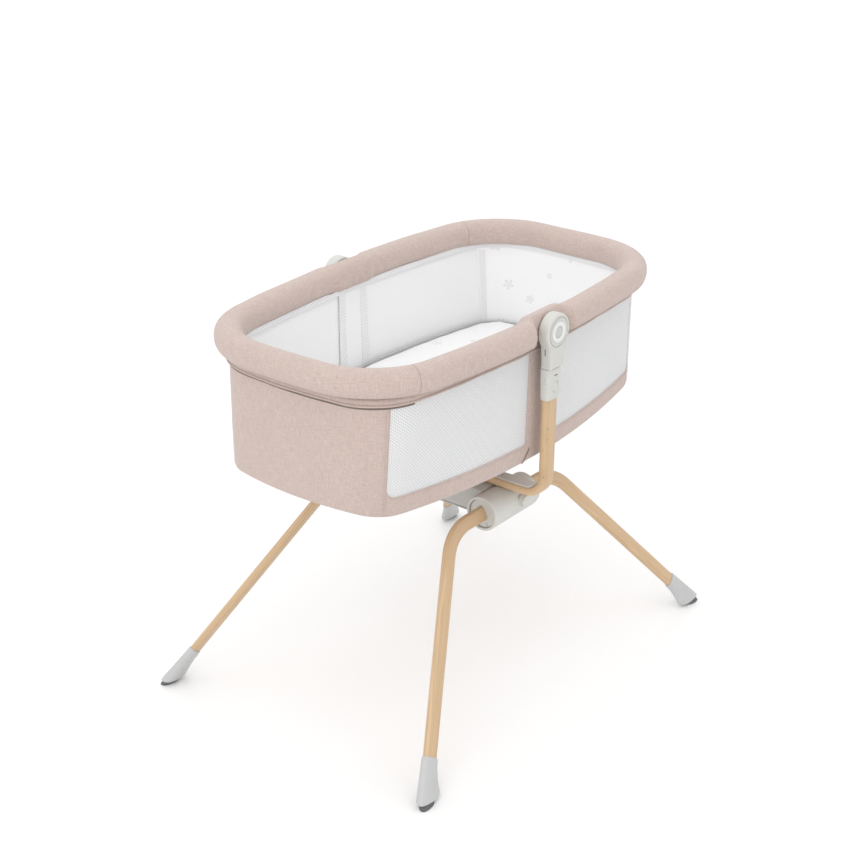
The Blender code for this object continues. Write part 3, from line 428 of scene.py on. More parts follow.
def frozen(ob):
    # modifiers become plain mesh
    bpy.context.view_layer.update()
    dg = bpy.context.evaluated_depsgraph_get()
    me = bpy.data.meshes.new_from_object(ob.evaluated_get(dg))
    old = ob.data
    ob.modifiers.clear()
    ob.data = me
    if old.users == 0:
        bpy.data.meshes.remove(old)
    return ob


def cutFrom(ob, tools, how="DIFFERENCE"):
    for tool in tools:
        m = ob.modifiers.new("cut", "BOOLEAN")
        m.operation = how
        m.solver = "EXACT"
        m.object = tool
        frozen(ob)
    for tool in tools:
        bpy.data.objects.remove(tool)
    ob.data.shade_smooth()
    ob.data.set_sharp_from_angle(angle=math.radians(30))
    return ob


def softEdges(ob, width, angle=35):
    m = ob.modifiers.new("edges", "BEVEL")
    m.width = width
    m.segments = 2
    m.limit_method = "ANGLE"
    m.angle_limit = math.radians(angle)
    m.harden_normals = True
    return frozen(ob)


def dress(ob, body, look, stands=()):
    # finish, body, and what the piece stands for
    ob.data.materials.clear()
    ob.data.materials.append(looks[look])
    for p in ob.data.polygons:
        p.material_index = 0
    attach(ob, body)
    if stands:
        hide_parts(*stands)
    return ob


def across(axis):
    d = Vector(axis).normalized()
    s = Vector((0, 0, 1)) if abs(d.z) < 0.9 else Vector((1, 0, 0))
    u = s.cross(d).normalized()
    return u, d.cross(u)


def ringAt(centre, axis, radius, count=48, flat=(1.0, 1.0)):
    u, v = across(axis)
    c = Vector(centre)
    return [c + u * radius * flat[0] * math.cos(2 * math.pi * i / count)
            + v * radius * flat[1] * math.sin(2 * math.pi * i / count) for i in range(count)]


def turnedPiece(name, base, axis, steps, count=48, flat=(1.0, 1.0)):
    d = Vector(axis).normalized()
    return solidOf(name, [ringAt(Vector(base) + d * s, d, r, count, flat) for s, r in steps])


def stadium(wide, thick, arc=9):
    # flat-sided tube outline with half-round ends, as offsets
    r = thick / 2
    out = []
    for side in (1, -1):
        for i in range(arc + 1):
            t = -math.pi / 2 + math.pi * i / arc
            out.append((side * (wide / 2 - r + r * math.cos(t)), side * r * math.sin(t)))
    return out


def softBox(wide, thick, power, count=56):
    out = []
    for i in range(count):
        t = 2 * math.pi * i / count
        out.append((math.copysign(abs(math.cos(t)) ** (2 / power), math.cos(t)) * wide / 2,
                    math.copysign(abs(math.sin(t)) ** (2 / power), math.sin(t)) * thick / 2))
    return out


def outlineAt(centre, a, b, offsets):
    return [Vector(centre) + Vector(a) * x + Vector(b) * y for x, y in offsets]


def otherSide(ob, name):
    # copy turned half round about the middle of the object
    me = ob.data.copy()
    me.name = name
    co = np.zeros(len(me.vertices) * 3, np.float32)
    me.vertices.foreach_get("co", co)
    co = co.reshape(-1, 3) * np.array([-1, -1, 1], np.float32)
    me.vertices.foreach_set("co", co.ravel())
    me.update()
    twin = bpy.data.objects.new(name, me)
    bpy.context.scene.collection.objects.link(twin)
    return twin


def finerCopy(node, name, width=0.0004):
    # welded copy of a CAD node with softened edges
    me = nodes[node].data.copy()
    me.name = name
    bm = bmesh.new()
    bm.from_mesh(me)
    bmesh.ops.remove_doubles(bm, verts=bm.verts, dist=2e-6)
    bmesh.ops.dissolve_limit(bm, angle_limit=math.radians(0.6), verts=bm.verts, edges=bm.edges)
    bm.to_mesh(me)
    bm.free()
    ob = bpy.data.objects.new(name, me)
    bpy.context.scene.collection.objects.link(ob)
    me.shade_smooth()
    me.set_sharp_from_angle(angle=math.radians(30))
    return softEdges(ob, width) if width else ob


# stand: flat-oval tubes

stand = {"axisOut": 0.138, "axisHigh": 0.335, "footAlong": 0.4203, "footOut": 0.2962, "legLean": 0.2713,
         "legBend": 0.085, "legWide": 0.0270, "legThick": 0.0125, "drumHalf": 0.0600, "socketDeep": 0.044,
         "soleHigh": 0.0125, "sleeveLong": 0.0630, "tubeShort": 0.0100}
arms = {"foot": 0.2268, "lean": 0.010, "run": 0.3750, "bend": 0.036, "top": 0.6070, "wide": 0.033,
        "thick": 0.0155}

hinge = Vector((0, -stand["axisOut"], stand["axisHigh"]))
slope = Vector((0, -(stand["footOut"] - stand["axisOut"]), -stand["axisHigh"]))
downArch = slope.normalized()
acrossArch = ex.cross(downArch)


def legLine(side, steps=26):
    # centre line of one leg with its inward normal, and the direction of the lower leg
    angle = math.atan2(slope.length, stand["legLean"])
    bendAt = stand["footAlong"] - stand["legLean"]
    start = bendAt - stand["legBend"] * math.tan(angle / 2)
    first = stand["drumHalf"] - stand["socketDeep"] + 0.0006
    out = [(hinge + ex * side * (first + (start - first) * i / 6), downArch) for i in range(6)]
    for i in range(steps + 1):
        t = angle * i / steps
        x = start + stand["legBend"] * math.sin(t)
        s = stand["legBend"] * (1 - math.cos(t))
        out.append((hinge + ex * side * x + downArch * s, downArch * math.cos(t) - ex * side * math.sin(t)))
    way = ex * side * math.cos(angle) + downArch * math.sin(angle)
    corner = hinge + ex * side * bendAt
    reach = (stand["axisHigh"] - stand["soleHigh"]) / (-way.z) - stand["tubeShort"]
    last = out[-1]
    end = corner + way * reach
    out += [(last[0].lerp(end, i / 14), last[1]) for i in range(1, 15)]
    return out, way


def tubePiece(name, line, sideways, wide, thick):
    # tube swept along a line of (point, normal); sideways is the third direction; grain runs along
    offsets = stadium(wide, thick)
    rings = [outlineAt(p, n, sideways, offsets) for p, n in line]
    m = len(offsets)
    girth = np.cumsum([0] + [math.dist(offsets[i], offsets[i + 1]) for i in range(m - 1)])
    run = np.cumsum([0] + [(line[i + 1][0] - line[i][0]).length for i in range(len(line) - 1)])
    spots = [(run[i], girth[j]) for i in range(len(line)) for j in range(m)]
    return solidOf(name, rings, spots=spots, sharp=50)


for side, near in ((-1, "near"), (1, "far")):
    line, way = legLine(side)
    leg = tubePiece(f"front_{near}_leg", line, acrossArch, stand["legWide"], stand["legThick"])
    other = "far" if near == "near" else "near"
    back = otherSide(leg, f"back_{other}_leg")
    for p in back.data.uv_layers["weave"].data:
        p.uv.x += 1.7
    dress(leg, "front_legs", "oak", [f"front_{near}_leg_tube"])
    dress(back, "back_legs", "oak", [f"back_{other}_leg_tube"])


def armLine(steps=22):
    up = Vector((0, arms["lean"], 1)).normalized()
    turn = math.acos(up.y)
    start = Vector((0, arms["foot"] - arms["bend"] * math.tan(turn / 2), arms["run"]))
    centre = start + Vector((0, 0, arms["bend"]))
    out = [(Vector((0, start.y * i / 10, arms["run"])), Vector((0, 0, 1))) for i in range(1, 10)]
    for i in range(steps + 1):
        t = turn * i / steps
        n = Vector((0, -math.sin(t), math.cos(t)))
        out.append((centre - n * arms["bend"], n))
    p, n = out[-1]
    end = Vector((0, arms["foot"] + arms["lean"] * (arms["top"] - arms["run"]), arms["top"]))
    out += [(p.lerp(end, i / 12), n) for i in range(1, 13)]
    return out


half = armLine()
whole = [(Vector((p.x, -p.y, p.z)), Vector((n.x, -n.y, n.z))) for p, n in reversed(half)]
whole += [(Vector((0, 0, arms["run"])), Vector((0, 0, 1)))] + half
frameTube = tubePiece("uprightTube", [(p, ex) for p, n in whole], Vector((0, 0, 1)), arms["wide"], 0.001)
rings = [outlineAt(p, ex, n, stadium(arms["wide"], arms["thick"])) for p, n in whole]
for v, p in zip(frameTube.data.vertices, [q for r in rings for q in r]):
    v.co = p
turnOut(frameTube)
frameTube.data.set_sharp_from_angle(angle=math.radians(50))
dress(frameTube, "stand", "oak", ["upright_frame_tube"])
print("tubes made")

# feet

feet = {"steps": ((0.0, 0.0294, 0.0150, 0.0), (0.02, 0.0308, 0.0164, 0.0), (0.22, 0.0316, 0.0172, 0.0006),
                  (0.45, 0.0326, 0.0186, 0.0042), (0.70, 0.0336, 0.0204, 0.0098),
                  (0.86, 0.0340, 0.0210, 0.0102), (0.97, 0.0342, 0.0212, 0.0074),
                  (1.0, 0.0326, 0.0196, 0.0056)), "level": 0.0064}


def towardsSole(p, way, share):
    wanted = feet["level"] + 0.22 * (p.z - feet["level"])
    return p + way * ((wanted - p.z) / way.z) * share


def footPiece(name, side):
    line, way = legLine(side)
    end, n = line[-1]
    top = end + way * (stand["tubeShort"] - stand["sleeveLong"])
    table = np.array(feet["steps"])
    shares = sorted(set(np.linspace(0.02, 0.97, 22)) | {0.0, 0.008, 0.985, 0.995, 1.0})
    rings = []
    for k in shares:
        wide, thick, heel = (float(np.interp(k, table[:, 0], table[:, c])) for c in (1, 2, 3))
        ring = []
        for x, y in softBox(wide, thick, 2.6):
            lean = max(x / (wide / 2), 0.0)
            p = top + way * stand["sleeveLong"] * k + n * (x + heel * lean ** 1.5) + acrossArch * y
            ring.append(towardsSole(p, way, k * k))
        rings.append(ring)
    foot = solidOf(name, rings)
    mouth = [outlineAt(top + way * s, n, acrossArch, stadium(0.0276, 0.0131)) for s in (-0.004, 0.050)]
    return cutFrom(foot, [solidOf("mouth", mouth)])


for side, near, far in ((-1, "near", "far"), (1, "far", "near")):
    foot = footPiece(f"front_{near}_foot", side)
    backFoot = otherSide(foot, f"back_{far}_foot")
    dress(foot, "front_legs", "foot", [f"front_{near}_foot_sleeve"])
    dress(backFoot, "back_legs", "foot", [f"back_{far}_foot_sleeve"])
print("feet made")

# plain hard pieces: welded copies with soft edges

hardPieces = [
    ("saddle_cover", "saddlePlate", "stand", "warmGrey", "warm_grey_plastic", 0.0006),
    ("bridge_body", "bridgeBody", "stand", "bridge", "bridge_grey_plastic", 0.0008),
    ("bridge_bottom_plate", "bridgePlate", "stand", "bridge", "bridge_grey_plastic", 0.0004),
]
for word in ("front", "back"):
    hardPieces += [
        (f"{word}_barrel", f"{word}Barrel", "stand", "warmGrey", "warm_grey_plastic", 0.0007),
        (f"{word}_drum", f"{word}Drum", f"{word}_legs", "warmGrey", "warm_grey_plastic", 0.0005),
        (f"{word}_saddle_screw", f"{word}SaddleScrew", "stand", "zinc", "zinc_steel", 0.0002),
        (f"{word}_near_drum_screw", f"{word}NearDrumScrew", f"{word}_legs", "zinc", "zinc_steel", 0.0001),
        (f"{word}_far_drum_screw", f"{word}FarDrumScrew", f"{word}_legs", "zinc", "zinc_steel", 0.0001),
        (f"{word}_near_foot_pad", f"{word}NearPad", f"{word}_legs", "rubber", "pad_grey_rubber", 0.0003),
        (f"{word}_far_foot_pad", f"{word}FarPad", f"{word}_legs", "rubber", "pad_grey_rubber", 0.0003),
        (f"{word}_fold_button", f"{word}FoldButton", f"{word}_fold_button", "warmGrey",
         "white_plastic", 0.0005),
        (f"{word}_release_button", f"{word}Release", f"{word}_release_button", "warmGrey",
         "warm_grey_plastic", 0.0003),
        (f"{word}_hub_ring", f"{word}HubRing", "carrier", "white", "white_plastic", 0.0003),
        (f"{word}_hub_key", f"{word}HubKey", f"{word}_hub_key", "keyGrey", "button_grey_plastic",
         0.0002),
        (f"{word}_pivot_bracket", f"{word}Bracket", "basket", "zinc", "zinc_steel", 0.0002),
        (f"{word}_pivot_pin", f"{word}Pin", "basket", "zinc", "zinc_steel", 0.0002),
    ]
for node, name, body, look, slot, width in hardPieces:
    dress(finerCopy(node, name, width), body, look, [node])
for node, look in (("rim_frame", "frameSteel"), ("floor_board", "board")):
    nodes[node].data.materials.clear()
    nodes[node].data.materials.append(looks[look])
print("hard pieces made:", len(hardPieces))

# lower sleeves and upper collars

collar = {"sleeveLow": 0.556, "parting": 0.6120, "hub": 0.6765, "radius": 0.0315, "face": 0.2440,
          "thick": 0.0204, "neck": 0.0190, "gap": 0.0011, "button": 0.5790, "ringSeat": 0.0185,
          "keyWell": 0.0086, "groove": 0.0252, "lean": 0.035}


def armY(z):
    return arms["foot"] + arms["lean"] * (z - arms["run"])


def sleevePiece(name):
    low, top = collar["sleeveLow"], collar["parting"]
    steps = ((low, 0.0350, 0.0186), (low + 0.0005, 0.0359, 0.0197), (low + 0.0015, 0.0364, 0.0202),
             (low + 0.010, 0.0367, 0.0214), (low + 0.020, 0.0370, 0.0226), (low + 0.040, 0.0375, 0.0234),
             (top - 0.0010, 0.0380, 0.0240), (top - 0.0003, 0.0378, 0.0238), (top, 0.0374, 0.0234))
    rings = [outlineAt((0, -armY(z), z), ex, (0, -1, 0), softBox(w, t, 3.0, 72)) for z, w, t in steps]
    sleeve = solidOf(name, rings)
    bore = [outlineAt((0, -armY(z), z), ex, (0, -1, 0),
                      stadium(arms["wide"] + 0.0006, arms["thick"] + 0.0006))
            for z in (low - 0.002, top + 0.002)]
    at = collar["button"]
    well = turnedPiece("well", (0, -armY(at) - 0.004, at), (0, -1, 0), [(0, 0.0103), (0.03, 0.0103)], 48,
                       (0.82, 1.0))
    slotBack = armY(0.600) + 0.0106
    slot = solidOf("slot", [outlineAt((0, -slotBack - d, 0.6000), ex, (0, 0, 1), stadium(0.0100, 0.0022))
                            for d in (0.0, 0.01)])
    tools = [solidOf("bore", bore), well, slot]
    for i in range(3):                     # short grip lines moulded into the narrow side
        z = 0.5860 + 0.0048 * i
        tools.append(turnedPiece("line", (-0.0198, -armY(z) + 0.0055, z), (0, -1, 0.12),
                                 [(0, 0.0019), (0.0095, 0.0019)], 20))
    return cutFrom(sleeve, tools)


def hubShape(inset, y, count=150):
    # round head running down into the neck
    r = collar["radius"] - inset
    neck = collar["neck"] - inset
    low = collar["parting"] + collar["gap"] + inset * 0.3
    joint = -math.acos(min((neck + 0.006) / r, 1.0))
    out = []
    n = count - 24
    for i in range(n):
        t = joint + (math.pi - 2 * joint) * i / (n - 1)
        out.append(Vector((r * math.cos(t), y, collar["hub"] + r * math.sin(t))))
    a = out[-1]
    left = []
    for i in range(1, 11):
        k = i / 11
        left.append(Vector((-(neck + 0.006 * (1 - k) ** 2), y, a.z + (low - a.z) * k)))
    left += [Vector((-neck, y, low + 0.001)), Vector((-neck + 0.0004, y, low))]
    out += left
    out += [Vector((-p.x, p.y, p.z)) for p in reversed(left)]
    return [Vector((p.x, p.y + collar["lean"] * max(collar["hub"] - 0.02 - p.z, 0.0), p.z)) for p in out]


def collarPiece(name):
    face, inner = -collar["face"], -(collar["face"] - collar["thick"])
    rings = [hubShape(0.0042, face), hubShape(0.0030, face + 0.00008), hubShape(0.0016, face + 0.0006),
             hubShape(0.0007, face + 0.0015), hubShape(0.0002, face + 0.0028), hubShape(0.0, face + 0.0042),
             hubShape(0.0, inner - 0.0030), hubShape(0.0008, inner - 0.0010), hubShape(0.0022, inner)]
    body = solidOf(name, rings)
    hub = Vector((0, face, collar["hub"]))
    outRing = [ringAt(hub + Vector((0, d, 0)), (0, 1, 0), r, 96)
               for d, r in ((-0.002, collar["groove"] + 0.0007), (0.0016, collar["groove"] + 0.0006),
                            (0.0016, collar["groove"] - 0.0006), (-0.002, collar["groove"] - 0.0007))]
    dish = turnedPiece("dish", hub + Vector((0, -0.004, 0)), (0, 1, 0),
                       [(0, 0.0246), (0.0040, 0.0246), (0.0046, 0.0234)], 96)
    seat = turnedPiece("seat", hub + Vector((0, 0.0030, 0)), (0, -1, 0),
                       [(0, collar["ringSeat"]), (0.02, collar["ringSeat"])], 72)
    well = turnedPiece("well", hub + Vector((0, 0.0085, 0)), (0, -1, 0),
                       [(0, collar["keyWell"]), (0.02, collar["keyWell"])], 60)
    tools = [dish, solidOf("groove", outRing, loop=True), seat, well]
    z = 0.6440                                # latch slot in the narrow side
    slot = [outlineAt((x, face + 0.0115, z), (0, -0.10, 1), (0, 1, 0.10), stadium(0.0135, 0.0022))
            for x in (-0.040, -0.0180)]
    tools.append(solidOf("latchSlot", slot))
    return cutFrom(body, tools)


sleeve = sleevePiece("frontSleeve")
collarFront = collarPiece("frontCollar")
# thin dark pieces laid in the sleeve slot and the latch slot: painted shade in the slots
slotInside = outlineAt((0, -(armY(0.600) + 0.0109), 0.6000), ex, (0, 0, 1), stadium(0.0098, 0.0020))
slotFace = solidOf("frontSlotShade", [slotInside, [p + Vector((0, -0.0004, 0)) for p in slotInside]])
latchIn = solidOf("frontLatchShade", [outlineAt((x, -collar["face"] + 0.0115, 0.6440), (0, -0.10, 1),
                                                (0, 1, 0.10), stadium(0.0131, 0.0019))
                                      for x in (-0.0184, -0.0180)])
for ob, name, body, look, node, slot in (
        (sleeve, "backSleeve", "stand", "warmGrey", "lower_sleeve", "warm_grey_plastic"),
        (collarFront, "backCollar", "carrier", "warmGrey", "upper_collar", "warm_grey_plastic"),
        (slotFace, "backSlotInlay", "stand", "slotShade", None, "warm_grey_plastic"),
        (latchIn, "backLatchShade", "carrier", "slotShade", None, "warm_grey_plastic")):
    twin = otherSide(ob, name)
    dress(ob, body, look, [f"front_{node}"] if node else [])
    dress(twin, body, look, [f"back_{node}"] if node else [])
print("collars made")

# basket outline

basket = {"halfLong": 0.389, "topHalfWide": 0.207, "lowHalfWide": 0.204, "top": 0.6562, "floor": 0.440,
          "rise": 0.014, "band": 0.034, "stripHalf": 0.026, "board": 0.4625, "mattressTop": 0.5078}
rim = {"halfLong": 0.394, "halfWide": 0.2185, "sideRadius": 2.09, "endRadius": 1.84, "corner": 0.136,
       "high": 0.681, "halfHigh": 0.024, "halfThick": 0.025, "jog": 0.006, "pinch": 0.0094}
fineSteps = 8                     # sub-steps between the outline's own points
counts = (5, 5, 7)
quarter = sum(counts)
loopCount = 4 * quarter


def ovalLine(halfLong, halfWide, sideRadius, endRadius, corner, fine=fineSteps):
    # plan outline of bowed sides, bowed ends and round corners: points and outward normals
    c1 = Vector((0, halfWide - sideRadius))
    c2 = Vector((halfLong - endRadius, 0))
    r1, r2 = sideRadius - corner, endRadius - corner
    d = (c2 - c1).length
    a = (r1 * r1 - r2 * r2 + d * d) / (2 * d)
    h = math.sqrt(max(r1 * r1 - a * a, 0.0))
    e = (c2 - c1) / d
    c = c1 + e * a + Vector((-e.y, e.x)) * h
    if c.x < 0 or c.y < 0:
        c = c1 + e * a - Vector((-e.y, e.x)) * h
    aEnd = math.atan2(c.y - c2.y, c.x - c2.x)
    aSide = math.atan2(c.y - c1.y, c.x - c1.x)
    q = []
    for centre, radius, t0, t1, n in ((c2, endRadius, 0.0, aEnd, counts[0] * fine),
                                      (c, corner, aEnd, aSide, counts[1] * fine),
                                      (c1, sideRadius, aSide, math.pi / 2, counts[2] * fine)):
        for i in range(n):
            t = t0 + (t1 - t0) * i / n
            q.append((centre.x + radius * math.cos(t), centre.y + radius * math.sin(t),
                      math.cos(t), math.sin(t)))
    top = q + [(0.0, halfWide, 0.0, 1.0)] + [(-x, y, -nx, ny) for x, y, nx, ny in reversed(q[1:])]
    low = [(x, -y, nx, -ny) for x, y, nx, ny in reversed(top)]
    return np.array(top + [(-halfLong, 0.0, -1.0, 0.0)] + low[:-1])


topLine = ovalLine(basket["halfLong"] - 0.002, basket["topHalfWide"], 2.4, 0.90, 0.100)
lowLine = ovalLine(basket["halfLong"], basket["lowHalfWide"], 1.75, 0.58, 0.062)


def alongLine(table, f):
    g = (np.asarray(f, float) * fineSteps) % len(table)
    i = np.floor(g).astype(int)
    t = (g - i)[..., None]
    return table[i % len(table)] * (1 - t) + table[(i + 1) % len(table)] * t


def lowEdge(f):
    return basket["floor"] + basket["rise"] * (alongLine(lowLine, f)[..., 0] / basket["halfLong"]) ** 2


def wallSpots(f, z, inward):
    # points of the wall at loop positions f and heights z, some way in from its outer face
    f, z, inward = np.broadcast_arrays(np.asarray(f, float), np.asarray(z, float), np.asarray(inward, float))
    v = ((z - basket["floor"]) / (basket["top"] - basket["floor"]))[..., None]
    a, b = alongLine(lowLine, f), alongLine(topLine, f)
    p = a + (b - a) * v
    n = p[..., 2:] / np.linalg.norm(p[..., 2:], axis=-1, keepdims=True)
    low = basket["floor"] + basket["rise"] * (p[..., 0] / basket["halfLong"]) ** 2
    w = np.clip((low + 0.010 - z) / 0.010, 0.0, 1.0)
    tuck = 0.0045 * (1 - np.sqrt(np.maximum(1 - w * w, 0.0)))
    xy = p[..., :2] - n * (inward + tuck)[..., None]
    return np.concatenate([xy, z[..., None]], -1)


def lineLength(points):
    return np.concatenate([[0.0], np.cumsum(np.linalg.norm(np.diff(points, axis=0), axis=1))])


def evenly(first, last, step, high=0.55):
    # loop positions from first to last, evenly spaced along the wall, and their distances
    f = np.linspace(first, last, 400)
    s = lineLength(wallSpots(f, high, 0.0))
    n = max(int(round(s[-1] / step)), 2)
    even = np.linspace(0, s[-1], n + 1)
    return np.interp(even, s, f), even


def loopAt(x, sy, high=0.55):
    # loop position on a long side for a given x
    f = np.arange(0, loopCount, 0.01)
    p = wallSpots(f, high, 0.0)
    miss = np.abs(p[:, 0] - x) + np.where(p[:, 1] * sy > 0.1, 0, 9)
    return float(f[int(np.argmin(miss))])


sideStart = counts[0] + counts[1]
seamBack = 1.9
joinA = sideStart - seamBack
joinB = 2 * quarter - sideStart + seamBack
joinC = 2 * quarter + sideStart - seamBack
joinD = 4 * quarter - sideStart + seamBack


def ripple(points, size, seed):
    # gentle seeded unevenness for cloth
    p = np.asarray(points)
    k = np.array([[19, 7, 31], [-11, 23, 17], [29, -13, 9], [41, 37, -23]]) + seed * 1.7
    out = np.zeros(len(p))
    for i, row in enumerate(k):
        out += np.sin(p @ row + seed * 2.1 + i) / (i + 1.5)
    return out * size


def clothSheet(name, f, s, zLow, zTop, outward, thick, rows=14, bulge=0.0, wave=0.0, seed=1, edge=0.0,
               slant=0.0):
    # thin closed sheet on the wall; outward is how far its face stands out
    h = np.linspace(0, 1, rows + 1)
    fine = np.array([0.0, 0.012, 0.03])
    h = np.unique(np.concatenate([fine, h, 1 - fine]))
    F, H = np.meshgrid(f, h, indexing="ij")
    S = np.meshgrid(s, h, indexing="ij")[0]
    low = np.broadcast_to(np.asarray(zLow, float), f.shape)[:, None]
    top = np.broadcast_to(np.asarray(zTop, float), f.shape)[:, None]
    Z = low + (top - low) * H
    share = (s - s[0]) / (s[-1] - s[0])
    crown = (np.sin(np.pi * np.clip(share, 0, 1)) ** 0.5)[:, None] * np.sin(np.pi * H) ** 0.5
    flat = wallSpots(F, Z, 0.0).reshape(-1, 3)
    wob = (ripple(flat, wave, seed).reshape(F.shape)) * crown
    lip = edge * (np.exp(-((1 - H) / 0.02) ** 2) + np.exp(-(H / 0.02) ** 2))
    sunk = slant * H ** 2
    outer = wallSpots(F, Z, sunk - (outward + bulge * crown + wob + lip)).reshape(-1, 3)
    inner = wallSpots(F, Z, sunk - (outward + bulge * crown + wob) + thick).reshape(-1, 3)
    rowsN, colsN = F.shape
    faces = bandFaces(rowsN, colsN)
    n = rowsN * colsN
    back = [tuple(n + i for i in reversed(q)) for q in faces]
    border = [i * colsN for i in range(rowsN)] + [(rowsN - 1) * colsN + j for j in range(1, colsN)]
    border += [i * colsN + colsN - 1 for i in range(rowsN - 2, -1, -1)] + [j for j in range(colsN - 2, 0, -1)]
    rimFaces = [(border[i], border[(i + 1) % len(border)], n + border[(i + 1) % len(border)], n + border[i])
                for i in range(len(border))]
    spots = np.stack([S, Z], -1).reshape(-1, 2)
    ob = pieceFrom(name, np.concatenate([outer, inner]), faces + back + rimFaces,
                   np.concatenate([spots, spots]))
    turnOut(ob)
    ob.data.set_sharp_from_angle(angle=math.radians(60))
    return ob


# seam rows: stitches and zip teeth on a line


def inputOf(group, name):
    for item in group.interface.items_tree:
        if item.item_type == "SOCKET" and item.in_out == "INPUT" and item.name == name:
            return item.identifier
    return None


def rowTree(name, shape):
    # pieces of one shape set along the lines of a mesh
    group = bpy.data.node_groups.new(name, "GeometryNodeTree")
    face = group.interface
    face.new_socket("Geometry", in_out="INPUT", socket_type="NodeSocketGeometry")
    for word in ("Step", "Long", "Wide", "High"):
        face.new_socket(word, in_out="INPUT", socket_type="NodeSocketFloat")
    face.new_socket("Finish", in_out="INPUT", socket_type="NodeSocketMaterial")
    face.new_socket("Geometry", in_out="OUTPUT", socket_type="NodeSocketGeometry")
    k = Bench(group)
    start = k.add("NodeGroupInput")
    line = k.add("GeometryNodeMeshToCurve", {}, {"Mesh": start.outputs["Geometry"]})
    spread = k.add("GeometryNodeResampleCurve", {"mode": "LENGTH"}, {"Curve": line.outputs[0],
                                                                    "Length": start.outputs["Step"]})
    way = k.add("FunctionNodeAlignRotationToVector", {"axis": "X"},
                {"Vector": k.add("GeometryNodeInputTangent").outputs[0]})
    if shape == "stitch":
        one = k.add("GeometryNodeMeshUVSphere", {}, {"Segments": 6, "Rings": 5, "Radius": 0.5}).outputs[0]
    else:
        one = k.add("GeometryNodeMeshCube", {}, {"Size": (1.0, 1.0, 1.0)}).outputs[0]
    size = k.add("ShaderNodeCombineXYZ", {}, [start.outputs[w] for w in ("Long", "Wide", "High")])
    placed = k.add("GeometryNodeInstanceOnPoints", {}, {"Points": spread.outputs[0], "Instance": one,
                                                        "Rotation": way.outputs[0], "Scale": size.outputs[0]})
    real = k.add("GeometryNodeRealizeInstances", {}, {0: placed.outputs[0]})
    done = k.add("GeometryNodeSetMaterial", {}, {"Geometry": real.outputs[0],
                                                 "Material": start.outputs["Finish"]})
    k.add("NodeGroupOutput", {}, {0: done.outputs[0]})
    return group


stitchTree = rowTree("stitchRow", "stitch")
toothTree = rowTree("zipRow", "tooth")


def rowOn(name, lines, tree, body, look, step, long, wide, high):
    # one mesh of small pieces along several open lines of points
    verts, edges = [], []
    for line in lines:
        base = len(verts)
        verts += [tuple(float(c) for c in p) for p in line]
        edges += [(base + i, base + i + 1) for i in range(len(line) - 1)]
    me = bpy.data.meshes.new(name)
    me.from_pydata(verts, edges, [])
    ob = bpy.data.objects.new(name, me)
    bpy.context.scene.collection.objects.link(ob)
    mod = ob.modifiers.new("row", "NODES")
    mod.node_group = tree
    for word, value in (("Step", step), ("Long", long), ("Wide", wide), ("High", high),
                        ("Finish", looks[look])):
        mod[inputOf(tree, word)] = value
    frozen(ob)
    ob.data.shade_smooth()
    return dress(ob, body, look, [])


def wireOn(name, points, radius, body, look, closed=False, count=10, flat=1.0):
    # round cord or piping along points
    p = np.asarray(points, float)
    n = len(p)
    if closed:
        t = np.roll(p, -1, 0) - np.roll(p, 1, 0)
    else:
        t = np.gradient(p, axis=0)
    t /= np.linalg.norm(t, axis=1, keepdims=True)
    up = np.array([0.0, 0.0, 1.0])
    a = np.cross(t, up)
    weak = np.linalg.norm(a, axis=1) < 0.2
    a[weak] = np.cross(t[weak], np.array([0.0, 1.0, 0.0]))
    a /= np.linalg.norm(a, axis=1, keepdims=True)
    b = np.cross(a, t)
    ang = np.linspace(0, 2 * np.pi, count, endpoint=False)
    rings = p[:, None] + a[:, None] * np.cos(ang)[None, :, None] * radius * flat
    rings = rings + b[:, None] * np.sin(ang)[None, :, None] * radius
    run = np.concatenate([[0.0], np.cumsum(np.linalg.norm(np.diff(p, axis=0), axis=1))])
    spots = [(run[i], ang[j] * radius) for i in range(n) for j in range(count)]
    ob = solidOf(name, [[Vector(q) for q in r] for r in rings], loop=closed, spots=spots, sharp=60)
    return dress(ob, body, look, [])


# end panels, strips, bands

panels = {"outward": 0.0004, "thick": 0.0012, "bulge": 0.0016, "wave": 0.0007, "step": 0.006}
for word, first, last in (("near", joinB, joinC), ("far", joinD - loopCount, joinA)):
    f, s = evenly(first, last, panels["step"])
    low = lowEdge(f)
    ob = clothSheet(f"{word}EndPanel", f, s, low, basket["top"], panels["outward"], 0.0028, 26,
                    panels["bulge"], panels["wave"], 3)
    dress(ob, "basket", "linen", [f"{word}_end_panel"])
    lf, ls = evenly(first - 0.4, last + 0.4, 0.008)
    ob = clothSheet(f"{word}EndLining", lf, ls, basket["board"] + 0.007, basket["top"], -0.0034, 0.0016, 18,
                    -0.0010, 0.0009, 5)
    dress(ob, "basket", "printed", [f"{word}_end_liner"])

net = {"pitch": 0.0055, "narrow": 0.60, "hole": 0.66, "outward": -0.0004}


